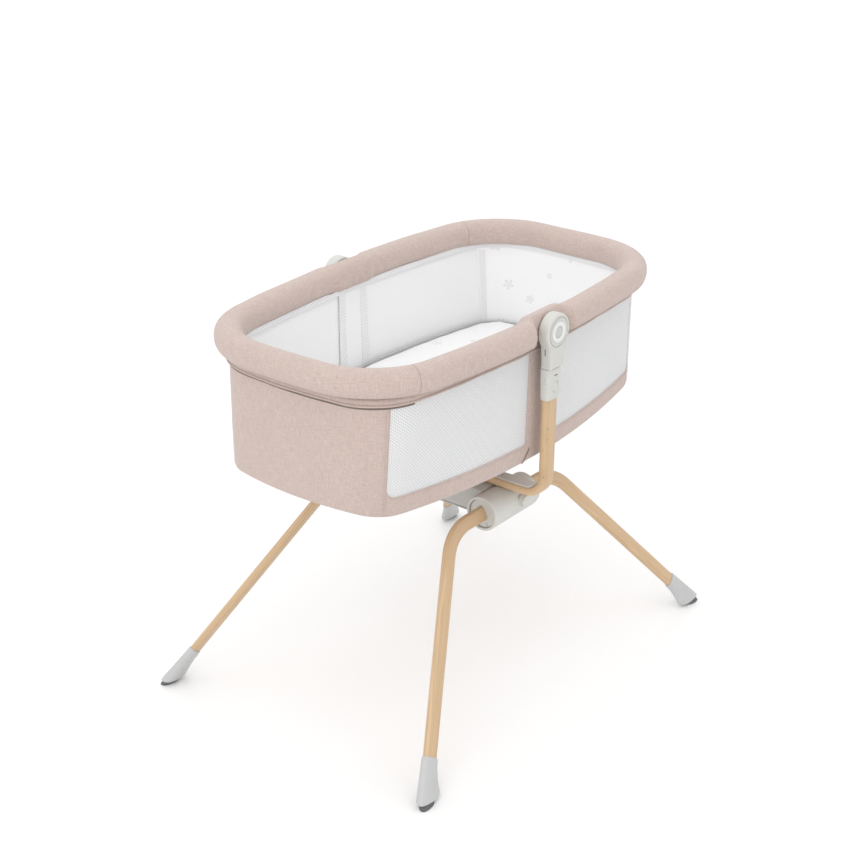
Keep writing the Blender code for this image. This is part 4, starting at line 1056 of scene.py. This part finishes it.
def netTree():
    # flat honeycomb net, holes in offset columns
    group = bpy.data.node_groups.new("airNet", "GeometryNodeTree")
    face = group.interface
    for word in ("Wide", "High", "Pitch", "Hole"):
        face.new_socket(word, in_out="INPUT", socket_type="NodeSocketFloat")
    face.new_socket("Finish", in_out="INPUT", socket_type="NodeSocketMaterial")
    face.new_socket("Geometry", in_out="OUTPUT", socket_type="NodeSocketGeometry")
    k = Bench(group)
    start = k.add("NodeGroupInput")
    wide, high, pitch = (Sock(k, start.outputs[w]) for w in ("Wide", "High", "Pitch"))
    columns = (wide / (pitch * 0.8660)).calc("CEIL")
    rows = (high / pitch).calc("CEIL")
    grid = k.add("GeometryNodeMeshGrid", {}, {"Size X": (columns - 1.0) * pitch * 0.8660,
                                              "Size Y": (rows - 1.0) * pitch,
                                              "Vertices X": columns, "Vertices Y": rows})
    index = Sock(k, k.add("GeometryNodeInputIndex").outputs[0])
    odd = (index / rows).calc("FLOOR").calc("MODULO", 2.0)
    shift = k.add("ShaderNodeCombineXYZ", {}, [0.0, (odd - 0.5) * pitch * 0.5, 0.0])
    set1 = k.add("GeometryNodeSetPosition", {}, {"Geometry": grid.outputs[0], "Offset": shift.outputs[0]})
    cell = k.add("GeometryNodeMeshCircle", {"fill_type": "NGON"}, {"Vertices": 6, "Radius": pitch * 0.57735})
    pulled = k.add("GeometryNodeExtrudeMesh", {"mode": "FACES"},
                   {"Mesh": cell.outputs[0], "Offset Scale": 0.0})
    scaled = k.add("GeometryNodeScaleElements", {"domain": "FACE"},
                   {"Geometry": pulled.outputs[0], "Selection": pulled.outputs["Top"],
                    "Scale": start.outputs["Hole"]})
    opened = k.add("GeometryNodeDeleteGeometry", {"domain": "FACE"},
                   {"Geometry": scaled.outputs[0], "Selection": pulled.outputs["Top"]})
    placed = k.add("GeometryNodeInstanceOnPoints", {}, {"Points": set1.outputs[0],
                                                        "Instance": opened.outputs[0]})
    real = k.add("GeometryNodeRealizeInstances", {}, {0: placed.outputs[0]})
    merged = k.add("GeometryNodeMergeByDistance", {}, {"Geometry": real.outputs[0], "Distance": 0.00005})
    done = k.add("GeometryNodeSetMaterial", {}, {"Geometry": merged.outputs[0],
                                                 "Material": start.outputs["Finish"]})
    k.add("NodeGroupOutput", {}, {0: done.outputs[0]})
    return group


airNet = netTree()


def netOn(name, first, last, zLow, zTop):
    # net laid on the wall between two loop positions; zLow is a function of the loop position
    f, s = evenly(first, last, 0.004)
    tall = zTop - float(np.min(zLow(f)))
    me = bpy.data.meshes.new(name)
    ob = bpy.data.objects.new(name, me)
    bpy.context.scene.collection.objects.link(ob)
    mod = ob.modifiers.new("net", "NODES")
    mod.node_group = airNet
    for word, value in (("Wide", float(s[-1]) / net["narrow"]), ("High", tall), ("Pitch", net["pitch"]),
                        ("Hole", net["hole"]), ("Finish", looks["net"])):
        mod[inputOf(airNet, word)] = value
    frozen(ob)
    me = ob.data
    co = np.zeros(len(me.vertices) * 3, np.float32)
    me.vertices.foreach_get("co", co)
    co = co.reshape(-1, 3).astype(float)
    span = co[:, 0].max() - co[:, 0].min()
    along = (co[:, 0] - co[:, 0].min()) / span * s[-1]
    up = (co[:, 1] - co[:, 1].min()) / (co[:, 1].max() - co[:, 1].min())
    ff = np.interp(along, s, f)
    low = zLow(ff)
    placed = wallSpots(ff, low + (zTop - low) * up, -net["outward"])
    me.vertices.foreach_set("co", placed.astype(np.float32).ravel())
    me.update()
    me.shade_smooth()
    return ob


def bandTopAt(f):
    return lowEdge(f) + basket["band"]


def cornerLift(f, first, last, reach=0.013, lift=0.013):
    # the band climbs in a round corner where it meets an upright seam
    s = lineLength(wallSpots(np.linspace(first, last, 400), 0.48, 0.0))
    at = np.interp(f, np.linspace(first, last, 400), s)
    d = np.minimum(at, s[-1] - at)
    k = np.clip(1 - d / reach, 0, 1)
    return lift * (1 - np.sqrt(np.maximum(1 - k * k, 0)))


for word, sy, first, last in (("front", -1, joinC, joinD), ("back", 1, joinA, joinB)):
    edgeA = loopAt(-basket["stripHalf"] * (1 if sy < 0 else -1), sy)
    edgeB = loopAt(basket["stripHalf"] * (1 if sy < 0 else -1), sy)
    ends = ("near", "far") if sy < 0 else ("far", "near")
    for end, a, b in ((ends[0], first, edgeA), (ends[1], edgeB, last)):
        nf, ns = evenly(a - 0.12, b + 0.12, 0.008)
        knit = clothSheet(f"{word}_{end}_knit", nf, ns, bandTopAt(nf) - 0.008, basket["top"], -0.0022, 0.0008,
                          16, 0.0, 0.0004, 7)
        dress(knit, "basket", "knit", [f"{word}_{end}_mesh_panel"])
        # outward faces of the knit take the darker copy, painted shade behind the net
        knit.data.materials.append(looks["knitShade"])
        for q in knit.data.polygons:
            if q.normal.y * sy > 0.2 and abs(q.normal.z) < 0.7:
                q.material_index = 1
        overlay = netOn(f"{word}_{end}_net", a - 0.12, b + 0.12, lambda g: bandTopAt(g) - 0.008,
                        basket["top"])
        dress(overlay, "basket", "net", [])
        high = float(basket["top"] - np.min(bandTopAt(nf)) + 0.008)
    # strip of linen over the middle, sewn down at both edges
    mf, ms = evenly(edgeA - 0.10, edgeB + 0.10, 0.003)
    strip = clothSheet(f"{word}MiddleStrip", mf, ms, lowEdge(mf), basket["top"], 0.0004, 0.0010, 26, 0.0012,
                       0.0004, 9)
    dress(strip, "basket", "linen", [f"{word}_middle_strip"])
    lowEdge(mf)
    # band along the bottom, with round inner corners
    for end, a, b in ((ends[0], first - 0.02, edgeA + 0.02), (ends[1], edgeB - 0.02, last + 0.02)):
        bf, bs = evenly(a, b, 0.004)
        top = bandTopAt(bf) + cornerLift(bf, a, b)
        band = clothSheet(f"{word}_{end}_band", bf, bs, lowEdge(bf), top, 0.0003, 0.0010, 10, 0.0006,
                          0.0002, 11, 0.0003)
        dress(band, "basket", "linen", [f"{word}_bottom_band"] if end == "near" else [])
        lowEdge(bf)
        edge = wallSpots(bf[1:-1], top[1:-1] - 0.0030, -0.00115)
        rowOn(f"{word}_{end}_band_stitches", [edge], stitchTree, "basket", "thread",
              0.0042, 0.0030, 0.0006, 0.0005)
print("walls made")

# upright seams: two rows of stitches on the linen beside each net panel
seamLines = []
for f, turn in ((joinA, -1), (joinB, 1), (joinC, -1), (joinD, 1)):
    for d in (0.10, 0.28):
        g = f + turn * d
        z = np.linspace(float(lowEdge(g)) + 0.004, basket["top"] - 0.003, 60)
        seamLines.append(wallSpots(np.full(60, g), z, -0.0019))
rowOn("uprightSeams", seamLines, stitchTree, "basket", "thread", 0.0042, 0.0030, 0.0006,
      0.0005)
print("seams made")

# roll round the rim


def rimRun():
    # rim stations: x, y and normal, set closer near the hubs and the cross seams, with their distances along
    # the rim
    line = ovalLine(rim["halfLong"], rim["halfWide"], rim["sideRadius"], rim["endRadius"], rim["corner"], 24)
    s = lineLength(np.concatenate([line[:, :2], line[:1, :2]]))
    dense = 1.0 + 2.4 * (np.abs(line[:, 0]) < 0.070)
    for sx, sy in seamCorners:
        near = np.hypot(line[:, 0] - sx, line[:, 1] - sy) < 0.012
        dense = np.where(near, 5.0, dense)
    weight = np.concatenate([[0.0], np.cumsum(dense * np.diff(s))])
    count = int(weight[-1] / 0.0056)
    at = np.interp(np.arange(count) * weight[-1] / count, weight, s)
    closed = np.concatenate([line, line[:1]])
    out = np.stack([np.interp(at, s, closed[:, c]) for c in range(4)], -1)
    out[:, 2:] /= np.linalg.norm(out[:, 2:], axis=1, keepdims=True)
    return out, at


cornerSpot = ovalLine(rim["halfLong"], rim["halfWide"], rim["sideRadius"], rim["endRadius"], rim["corner"], 1)
nearSeam = cornerSpot[2 * quarter + sideStart - 1]
farSeam = cornerSpot[sideStart - 1]
seamCorners = [(nearSeam[0], nearSeam[1]), (farSeam[0], farSeam[1])]
rimStations, rimAlong = rimRun()


def pinchAt(x):
    t = np.clip((np.abs(x) - 0.036) / 0.022, 0, 1)
    return 1 - t * t * (3 - 2 * t)


roll = {"around": 44, "start": 0.0016, "cap": 0.0026, "pressure": 4.0, "frames": 20,
        "girth": 2 * math.pi * 0.0245, "gatherFrom": 0.041}


def rollSkin(shrink):
    x, y, nx, ny = rimStations.T
    k = pinchAt(x)
    n = np.stack([nx, ny, np.zeros_like(nx)], -1)
    c = np.stack([x, y, np.full_like(x, rim["high"])], -1) - n * (rim["jog"] * k)[:, None]
    t = -math.pi / 2 + 2 * math.pi * np.arange(roll["around"]) / roll["around"]
    cs, sn = np.cos(t), np.sin(t)
    p = 2 / 2.4
    free = 1 - k
    outHalf = (rim["halfThick"] * (1 - k) + rim["pinch"] * k)[:, None] - shrink * free[:, None]
    inHalf = rim["halfThick"] - shrink
    topHalf = rim["halfHigh"] + 0.0024 * k[:, None] - shrink * free[:, None]
    h = np.where(cs > 0, outHalf, inHalf)
    v = np.where(sn > 0, topHalf, rim["halfHigh"] - shrink * 0.5)
    full = np.where((cs < 0) & (sn < 0), 2 / 3.4, p)
    a = np.sign(cs) * np.abs(cs) ** full * h
    b = np.sign(sn) * np.abs(sn) ** full * v
    pts = c[:, None] + n[:, None] * a[..., None] + np.array([0, 0, 1.0]) * b[..., None]
    return pts, k, t


def seamNear():
    # distance from each station to the closest cross seam
    out = np.full(len(rimStations), 9.0)
    for sx, sy in seamCorners:
        out = np.minimum(out, np.hypot(rimStations[:, 0] - sx, rimStations[:, 1] - sy))
    return out


pts, hubShare, turnAt = rollSkin(roll["start"])
rows, cols = pts.shape[:2]
aroundRoll = np.arange(cols) / cols * roll["girth"]
spots = np.stack(np.broadcast_arrays(rimAlong[:, None], aroundRoll[None, :]), -1).reshape(-1, 2)
rollOb = pieceFrom("rimRoll", pts.reshape(-1, 3), bandFaces(rows, cols, True, True), spots)
turnOut(rollOb)


def puffUp(ob, hold, settings):
    # air pressure in the cloth for a few frames, with held points and a limit on travel
    rest = np.array([v.co for v in ob.data.vertices])
    group = ob.vertex_groups.new(name="held")
    for i, w in enumerate(hold):
        if w > 0:
            group.add([i], float(w), "REPLACE")
    m = ob.modifiers.new("air", "CLOTH")
    c = m.settings
    c.use_pressure = True
    c.uniform_pressure_force = settings["pressure"]
    c.vertex_group_mass = "held"
    c.pin_stiffness = 4.0
    c.tension_stiffness = 40
    c.compression_stiffness = 40
    c.shear_stiffness = 12
    c.bending_stiffness = 1.2
    c.effector_weights.gravity = 0.0
    m.collision_settings.use_self_collision = False
    m.point_cache.frame_end = settings["frames"]
    scene = bpy.context.scene
    for k in range(1, settings["frames"] + 1):
        scene.frame_set(k)
    frozen(ob)
    scene.frame_set(1)
    ob.vertex_groups.clear()
    now = np.array([v.co for v in ob.data.vertices])
    move = now - rest
    far = np.linalg.norm(move, axis=1, keepdims=True)
    move *= np.minimum(1.0, settings["cap"] / np.maximum(far, 1e-9))
    ob.data.vertices.foreach_set("co", (rest + move).astype(np.float32).ravel())
    ob.data.update()
    return ob


away = seamNear()
hold = np.zeros((rows, cols))
hold[:, 0] = 1.0
hold[:, 1] = hold[:, -1] = 0.6
hold += (hubShare > 0.25)[:, None] * 1.0
hold += (away < 0.0015)[:, None] * 0.5
hold = np.clip(hold, 0, 1).ravel()
puffUp(rollOb, hold, roll)

# seam grooves and the small puckers beside them
co = np.array([v.co for v in rollOb.data.vertices])
centre = np.repeat(np.stack([rimStations[:, 0], rimStations[:, 1], np.full(rows, rim["high"])], -1), cols, 0)
outward = co - centre
outward /= np.linalg.norm(outward, axis=1, keepdims=True)
near = np.repeat(away, cols)
theta = np.tile(turnAt, rows)
groove = -0.0011 * np.exp(-(near / 0.0011) ** 2)
pucker = 0.00035 * np.exp(-near / 0.010) * np.sin(theta * 17 + 0.7) * (near > 0.001)
hubDist = np.maximum(np.abs(centre[:, 0]) - roll["gatherFrom"], 0)
gather = 0.0006 * np.exp(-hubDist / 0.016) * np.sin(theta * 13 + centre[:, 0] * 90)
gather *= np.abs(centre[:, 0]) > roll["gatherFrom"]
soft = ripple(co * 1.3, 0.00045, 4)
calm = 1 - np.repeat(hubShare, cols) * 0.8
lowPart = np.clip((-np.sin(theta) - 0.80) / 0.2, 0, 1)
co += outward * ((groove + pucker + gather + soft * calm) * (1 - lowPart))[:, None]
rollOb.data.vertices.foreach_set("co", co.astype(np.float32).ravel())
rollOb.data.update()
m = rollOb.modifiers.new("finer", "SUBSURF")
m.levels = m.render_levels = 1
frozen(rollOb)
rollOb.data.shade_smooth()
dress(rollOb, "basket", "linen", ["rim_roll"])
print("roll made:", len(rollOb.data.polygons))

# threads lying in the cross seams
seamRings = []
for sx, sy in seamCorners:
    i = int(np.argmin(np.hypot(rimStations[:, 0] - sx, rimStations[:, 1] - sy)))
    ring = co.reshape(rows, cols, 3)[i]
    out = outward.reshape(rows, cols, 3)[i]
    seamRings.append((ring + out * 0.00025)[2:-1])
for word, ring in zip(("near", "far"), seamRings):
    wireOn(f"{word}RollSeam", ring, 0.00042, "basket", "thread", count=6)

# hem below the roll, its piping and the zip at the near end

hem = {"top": 0.6566, "low": 0.6415, "stand": 0.0046, "lip": 0.0018}
f = np.linspace(0, loopCount, 68 * 4 + 1)[:-1]
profile = ((0.0004, hem["top"] - 0.0014), (0.0013, hem["top"] - 0.0013), (0.0028, hem["top"] - 0.0026),
           (hem["stand"] - 0.0002, hem["top"] - 0.0050), (hem["stand"], hem["top"] - 0.0080),
           (hem["stand"] - 0.0002, hem["low"] + 0.0030), (hem["stand"] - 0.0010, hem["low"] + 0.0020),
           (0.0020, hem["low"] + 0.0016), (0.0006, hem["top"] - 0.0080))
hemRun = lineLength(wallSpots(f, 0.65, 0.0))
sag = 0.0006 * np.sin(hemRun * 38.0) + 0.0004 * np.sin(hemRun * 91.0 + 1)
rings = np.stack([wallSpots(f, min(z, basket["top"]), -(d + sag * (0.3 + 0.7 * (hem["top"] - z) / 0.018)))
                  for d, z in profile], 1)
rings[..., 2] = np.array([z for d, z in profile])[None, :]
spots = [(hemRun[i], profile[j][1] + profile[j][0]) for i in range(len(f)) for j in range(len(profile))]
hemOb = solidOf("hemStrip", [[Vector(q) for q in r] for r in rings], loop=True, spots=spots, sharp=60)
dress(hemOb, "basket", "linen", ["hem_strip"])
lipLine = wallSpots(f, hem["low"] + 0.0016, -(hem["stand"] - 0.0002 + sag))
wireOn("hemPiping", lipLine, hem["lip"], "basket", "linen", closed=True, count=12)
top2 = wallSpots(f, hem["low"] + 0.0045, -(hem["stand"] + 0.0003 + sag))
rowOn("hemStitches", [np.concatenate([top2, top2[:1]])], stitchTree, "basket", "thread",
      0.0040, 0.0029, 0.0006, 0.0005)
seamF = loopAt(-0.150, -1, 0.65)
z = np.linspace(hem["low"] + 0.0006, hem["top"] - 0.0004, 14)
wireOn("hemSeam", wallSpots(np.full(14, seamF), z, -(hem["stand"] + 0.0006)), 0.0004, "basket", "thread",
       count=6)
zipper = {"low": 0.6366, "high": 0.6470, "teeth": 0.6392, "before": 0.8, "after": 1.5}
zf, zs = evenly(joinB - zipper["before"], joinC + zipper["after"], 0.003, 0.633)
zipLine = wallSpots(zf, zipper["teeth"], -0.0022)
rowOn("zipTeeth", [zipLine], toothTree, "basket", "zip", 0.0024, 0.0013, 0.0016, 0.0021)
tape = clothSheet("zipTape", zf, zs, zipper["low"], zipper["high"], 0.0014, 0.0008, 4)
dress(tape, "basket", "zip", [])
print("hem made")

# inside: tapes over the seams, mattress

tapes = {"topLow": 0.6505, "topHigh": 0.6620, "slant": 0.0034, "thick": 0.0006, "stripTop": 0.6530,
         "edgeTop": 0.6525, "low": basket["mattressTop"] - 0.01, "high": basket["top"] - 0.011}
af, asz = evenly(0.0, loopCount - 0.001, 0.008, 0.64)
topTape = clothSheet("topTape", af, asz, tapes["topLow"], tapes["topHigh"], -0.0058, tapes["thick"], 4,
                     slant=tapes["slant"])
dress(topTape, "basket", "tape", [])
for word, f in (("A", joinA), ("B", joinB), ("C", joinC), ("D", joinD)):
    tf, ts = evenly(f - 0.27, f + 0.27, 0.003)
    if ts[-1] < 0.0105:
        tf, ts = evenly(f - 0.40, f + 0.40, 0.003)
    ob = clothSheet("cornerTape" + word, tf, ts, tapes["low"], tapes["high"], -0.0056, tapes["thick"], 12)
    dress(ob, "basket", "tape", [])
for word, sy in (("front", -1), ("back", 1)):
    a, b = sorted((loopAt(-basket["stripHalf"], sy), loopAt(basket["stripHalf"], sy)))
    tf, ts = evenly(a - 0.28, b + 0.28, 0.004)
    ob = clothSheet(word + "InnerStrip", tf, ts, tapes["low"], tapes["stripTop"], -0.0042, 0.0010, 14)
    dress(ob, "basket", "knit", [])
    for d in (a - 0.10, b + 0.10):
        ef, es = evenly(d - 0.20, d + 0.20, 0.003)
        edge = clothSheet(f"{word}EdgeTape{int(d * 100)}", ef, es, tapes["low"], tapes["edgeTop"], -0.0054,
                          tapes["thick"], 12)
        dress(edge, "basket", "tape", [])
print("tapes made")

# small dark pieces beside the hubs, painted shade in the gaps between roll and hem, and the dark cord at the
# low end of each middle strip
gapShades = {"at": (("nearTab", -0.0345, 0.6590), ("farTab", 0.0400, 0.6560)), "front": 0.2195, "wide": 0.0100,
        "high": 0.0105, "depths": (0.0080, 0.0010, 0.0)}
for name, x, z in gapShades["at"]:
    at = Vector((x, -gapShades["front"], z))
    rings = [outlineAt(at + Vector((0, d, 0)), ex, (0, 0, 1), softBox(gapShades["wide"], gapShades["high"], 3.0, 32))
             for d in gapShades["depths"]]
    gapShadePiece = solidOf(name, rings)
    twin = otherSide(gapShadePiece, name + "Back")
    dress(gapShadePiece, "basket", "cordAndGapShade", [])
    dress(twin, "basket", "cordAndGapShade", [])
cord = [(-0.0225, 0.4660), (-0.0262, 0.4600), (-0.0310, 0.4535), (-0.0344, 0.4490), (-0.0375, 0.4445),
        (-0.0400, 0.4415)]
points = []
for x, z in cord:
    spot = wallSpots(np.array([loopAt(x, -1, z)]), z, -0.0024)[0]
    points.append(spot)
cordOb = wireOn("frontCord", points, 0.0009, "basket", "cordAndGapShade", count=8)
dress(otherSide(cordOb, "backCord"), "basket", "cordAndGapShade", [])

mattress = {"low": 0.4690, "top": 0.5078, "inset": 0.0078, "voxel": 0.006, "cap": 0.0050, "pressure": 4.0,
            "frames": 20}


def matOutline(inset, z):
    f = np.linspace(0, loopCount, 68 * 3 + 1)[:-1]
    p = wallSpots(f, z, inset)
    p[:, 2] = z
    return p


def matPiece():
    lo, hi = mattress["low"], mattress["top"] - 0.0035
    steps = ((lo, 0.010), (lo + 0.003, 0.004), (lo + 0.008, 0.0015), (hi - 0.008, 0.0015),
             (hi - 0.003, 0.004), (hi, 0.010))
    rings = [matOutline(mattress["inset"] + e, z) for z, e in steps]
    n = len(rings[0])
    verts = [p for r in rings for p in r]
    faces = bandFaces(len(rings), n, False, True)
    for base in (0, (len(rings) - 1) * n):
        h = n // 2
        faces.append((base, base + 1, base + n - 1))
        for i in range(1, h - 1):
            faces.append((base + i, base + i + 1, base + n - i - 1, base + n - i))
        faces.append((base + h - 1, base + h, base + h + 1))
    return turnOut(pieceFrom("mattressPad", verts, faces))


mat = matPiece()
m = mat.modifiers.new("even", "REMESH")
m.mode = "VOXEL"
m.voxel_size = mattress["voxel"]
frozen(mat)
turnOut(mat)
z = np.array([v.co.z for v in mat.data.vertices])
hold = np.clip((mattress["low"] + 0.004 - z) / 0.002, 0, 1)
puffUp(mat, hold, mattress)
m = mat.modifiers.new("finer", "SUBSURF")
m.levels = m.render_levels = 1
frozen(mat)
me = mat.data
co = np.array([v.co for v in me.vertices])
layer = me.uv_layers.get("weave") or me.uv_layers.new(name="weave")
at = np.zeros(len(me.loops), dtype=np.int32)
me.loops.foreach_get("vertex_index", at)
flatUv = np.stack([co[:, 0], co[:, 1] + co[:, 2]], -1)
layer.data.foreach_set("uv", flatUv[at].astype(np.float32).ravel())
me.shade_smooth()
dress(mat, "basket", "printed", ["mattress"])
# piping round the mattress top, coloured grey as painted shade along the edge
edgeTop = matOutline(mattress["inset"] + 0.0026, mattress["top"] - 0.0075)
wireOn("shadedMattressPiping", edgeTop, 0.0016, "basket", "piping", closed=True, count=10)
print("mattress made:", len(mat.data.polygons))

# underside


underside = {"steps": ((0.0085, 0.0012), (0.0105, 0.0004), (0.0130, 0.0003)), "across": 12, "sag": 0.0008,
             "seat": 0.0006, "thick": 0.0016, "flat": (0.38, 0.79), "area": 0.27}


def underSheet():
    f = np.linspace(0, loopCount, 68 * 3 + 1)[:-1]
    n = len(f)
    rings = []
    for inward, up in underside["steps"]:
        p = wallSpots(f, lowEdge(f) + 0.012, inward - 0.0020)
        p[:, 2] = lowEdge(f) + up + underside["seat"]
        rings.append(p)
    verts = [q for r in rings for q in r]
    faces = bandFaces(len(rings), n, False, True)
    base, h = (len(rings) - 1) * n, n // 2
    rowsAcross = underside["across"]
    grid = []
    last = rings[-1]
    for i in range(1, h):
        a, b = last[i], last[n - i]
        grid.append([len(verts) + j for j in range(rowsAcross - 1)])
        for j in range(1, rowsAcross):
            t = j / rowsAcross
            q = a * (1 - t) + b * t
            q[2] = last[i][2] + underside["sag"] * math.sin(math.pi * t)
            verts.append(q)
    full = [[base + i, *g, base + n - i] for i, g in zip(range(1, h), grid)]
    for i in range(len(full) - 1):
        for j in range(len(full[0]) - 1):
            faces.append((full[i][j], full[i][j + 1], full[i + 1][j + 1], full[i + 1][j]))
    faces.append(tuple([base] + full[0]))
    faces.append(tuple([base + h] + full[-1][::-1]))
    co = np.array(verts)
    ob = pieceFrom("undersideCover", verts, faces, co[:, :2])
    m = ob.modifiers.new("thick", "SOLIDIFY")
    m.thickness = underside["thick"]
    m.offset = 1.0
    frozen(ob)
    return turnOut(ob)


under = underSheet()
dress(under, "basket", "linen", ["underside_cover"])
print("underside made")

# floor, light and camera

viewFrom = {"azimuth": -51.799, "elevation": 24.445, "lens": 70.126, "scale": 1.15, "away": 2.767,
             "across": -0.011, "up": 0.342, "drop": -0.007}


def flooring():
    k = Look("paleFloor", {"Specular IOR Level": 0.35, "Roughness": 0.22})
    spot = k.objectSpot()
    cloud = k.noise(spot, 0.8, 2.0)
    k.paint(k.blendOf(cloud, (0.93, 0.93, 0.93), (0.96, 0.96, 0.96)))
    me = bpy.data.meshes.new("floor")
    r = 30.0
    corners = ((-r, -r), (r, -r), (r, r), (-r, r))
    me.from_pydata([(x, y, -0.0002) for x, y in corners], [], [(0, 1, 2, 3)])
    me.materials.append(k.mat)
    ob = bpy.data.objects.new("floor", me)
    bpy.context.scene.collection.objects.link(ob)


flooring()


def areaLight(name, at, to, size, power):
    data = bpy.data.lights.new(name, "AREA")
    data.shape = "RECTANGLE"
    data.size, data.size_y = size
    data.energy = power
    ob = bpy.data.objects.new(name, data)
    bpy.context.scene.collection.objects.link(ob)
    ob.location = at
    ob.rotation_mode = "QUATERNION"
    ob.rotation_quaternion = (Vector(to) - Vector(at)).to_track_quat("-Z", "Y")
    return ob


areaLight("keyLight", (-3.0, -0.9, 2.6), (0, 0, 0.5), (2.0, 2.0), 24)
areaLight("topLight", (0.3, 0.2, 3.4), (0, 0, 0.4), (3.0, 3.0), 6)
world = bpy.data.worlds.new("softRoom")
world.use_nodes = True
world.node_tree.nodes["Background"].inputs[0].default_value = (1.0, 1.0, 1.0, 1.0)
world.node_tree.nodes["Background"].inputs[1].default_value = 1.09
bpy.context.scene.world = world
bpy.context.scene.view_settings.view_transform = "Standard"


def camera():
    a, e = math.radians(viewFrom["azimuth"]), math.radians(viewFrom["elevation"])
    right = Vector((math.cos(a), math.sin(a), 0))
    backward = Vector((math.sin(a) * math.cos(e), -math.cos(a) * math.cos(e), math.sin(e)))
    upward = backward.cross(right)
    data = bpy.data.cameras.new("camera")
    data.lens = viewFrom["lens"]
    data.sensor_width = 36.0
    ob = bpy.data.objects.new("camera", data)
    bpy.context.scene.collection.objects.link(ob)
    k = viewFrom["scale"]
    at = (backward * viewFrom["away"] + right * viewFrom["across"] + upward * viewFrom["up"]) * k
    ob.location = at + Vector((0, 0, viewFrom["drop"]))
    ob.rotation_mode = "QUATERNION"
    ob.rotation_quaternion = (-backward).to_track_quat("-Z", "Y")
    data.clip_start, data.clip_end = 0.05, 100.0
    bpy.context.scene.camera = ob


camera()
bpy.context.view_layer.update()
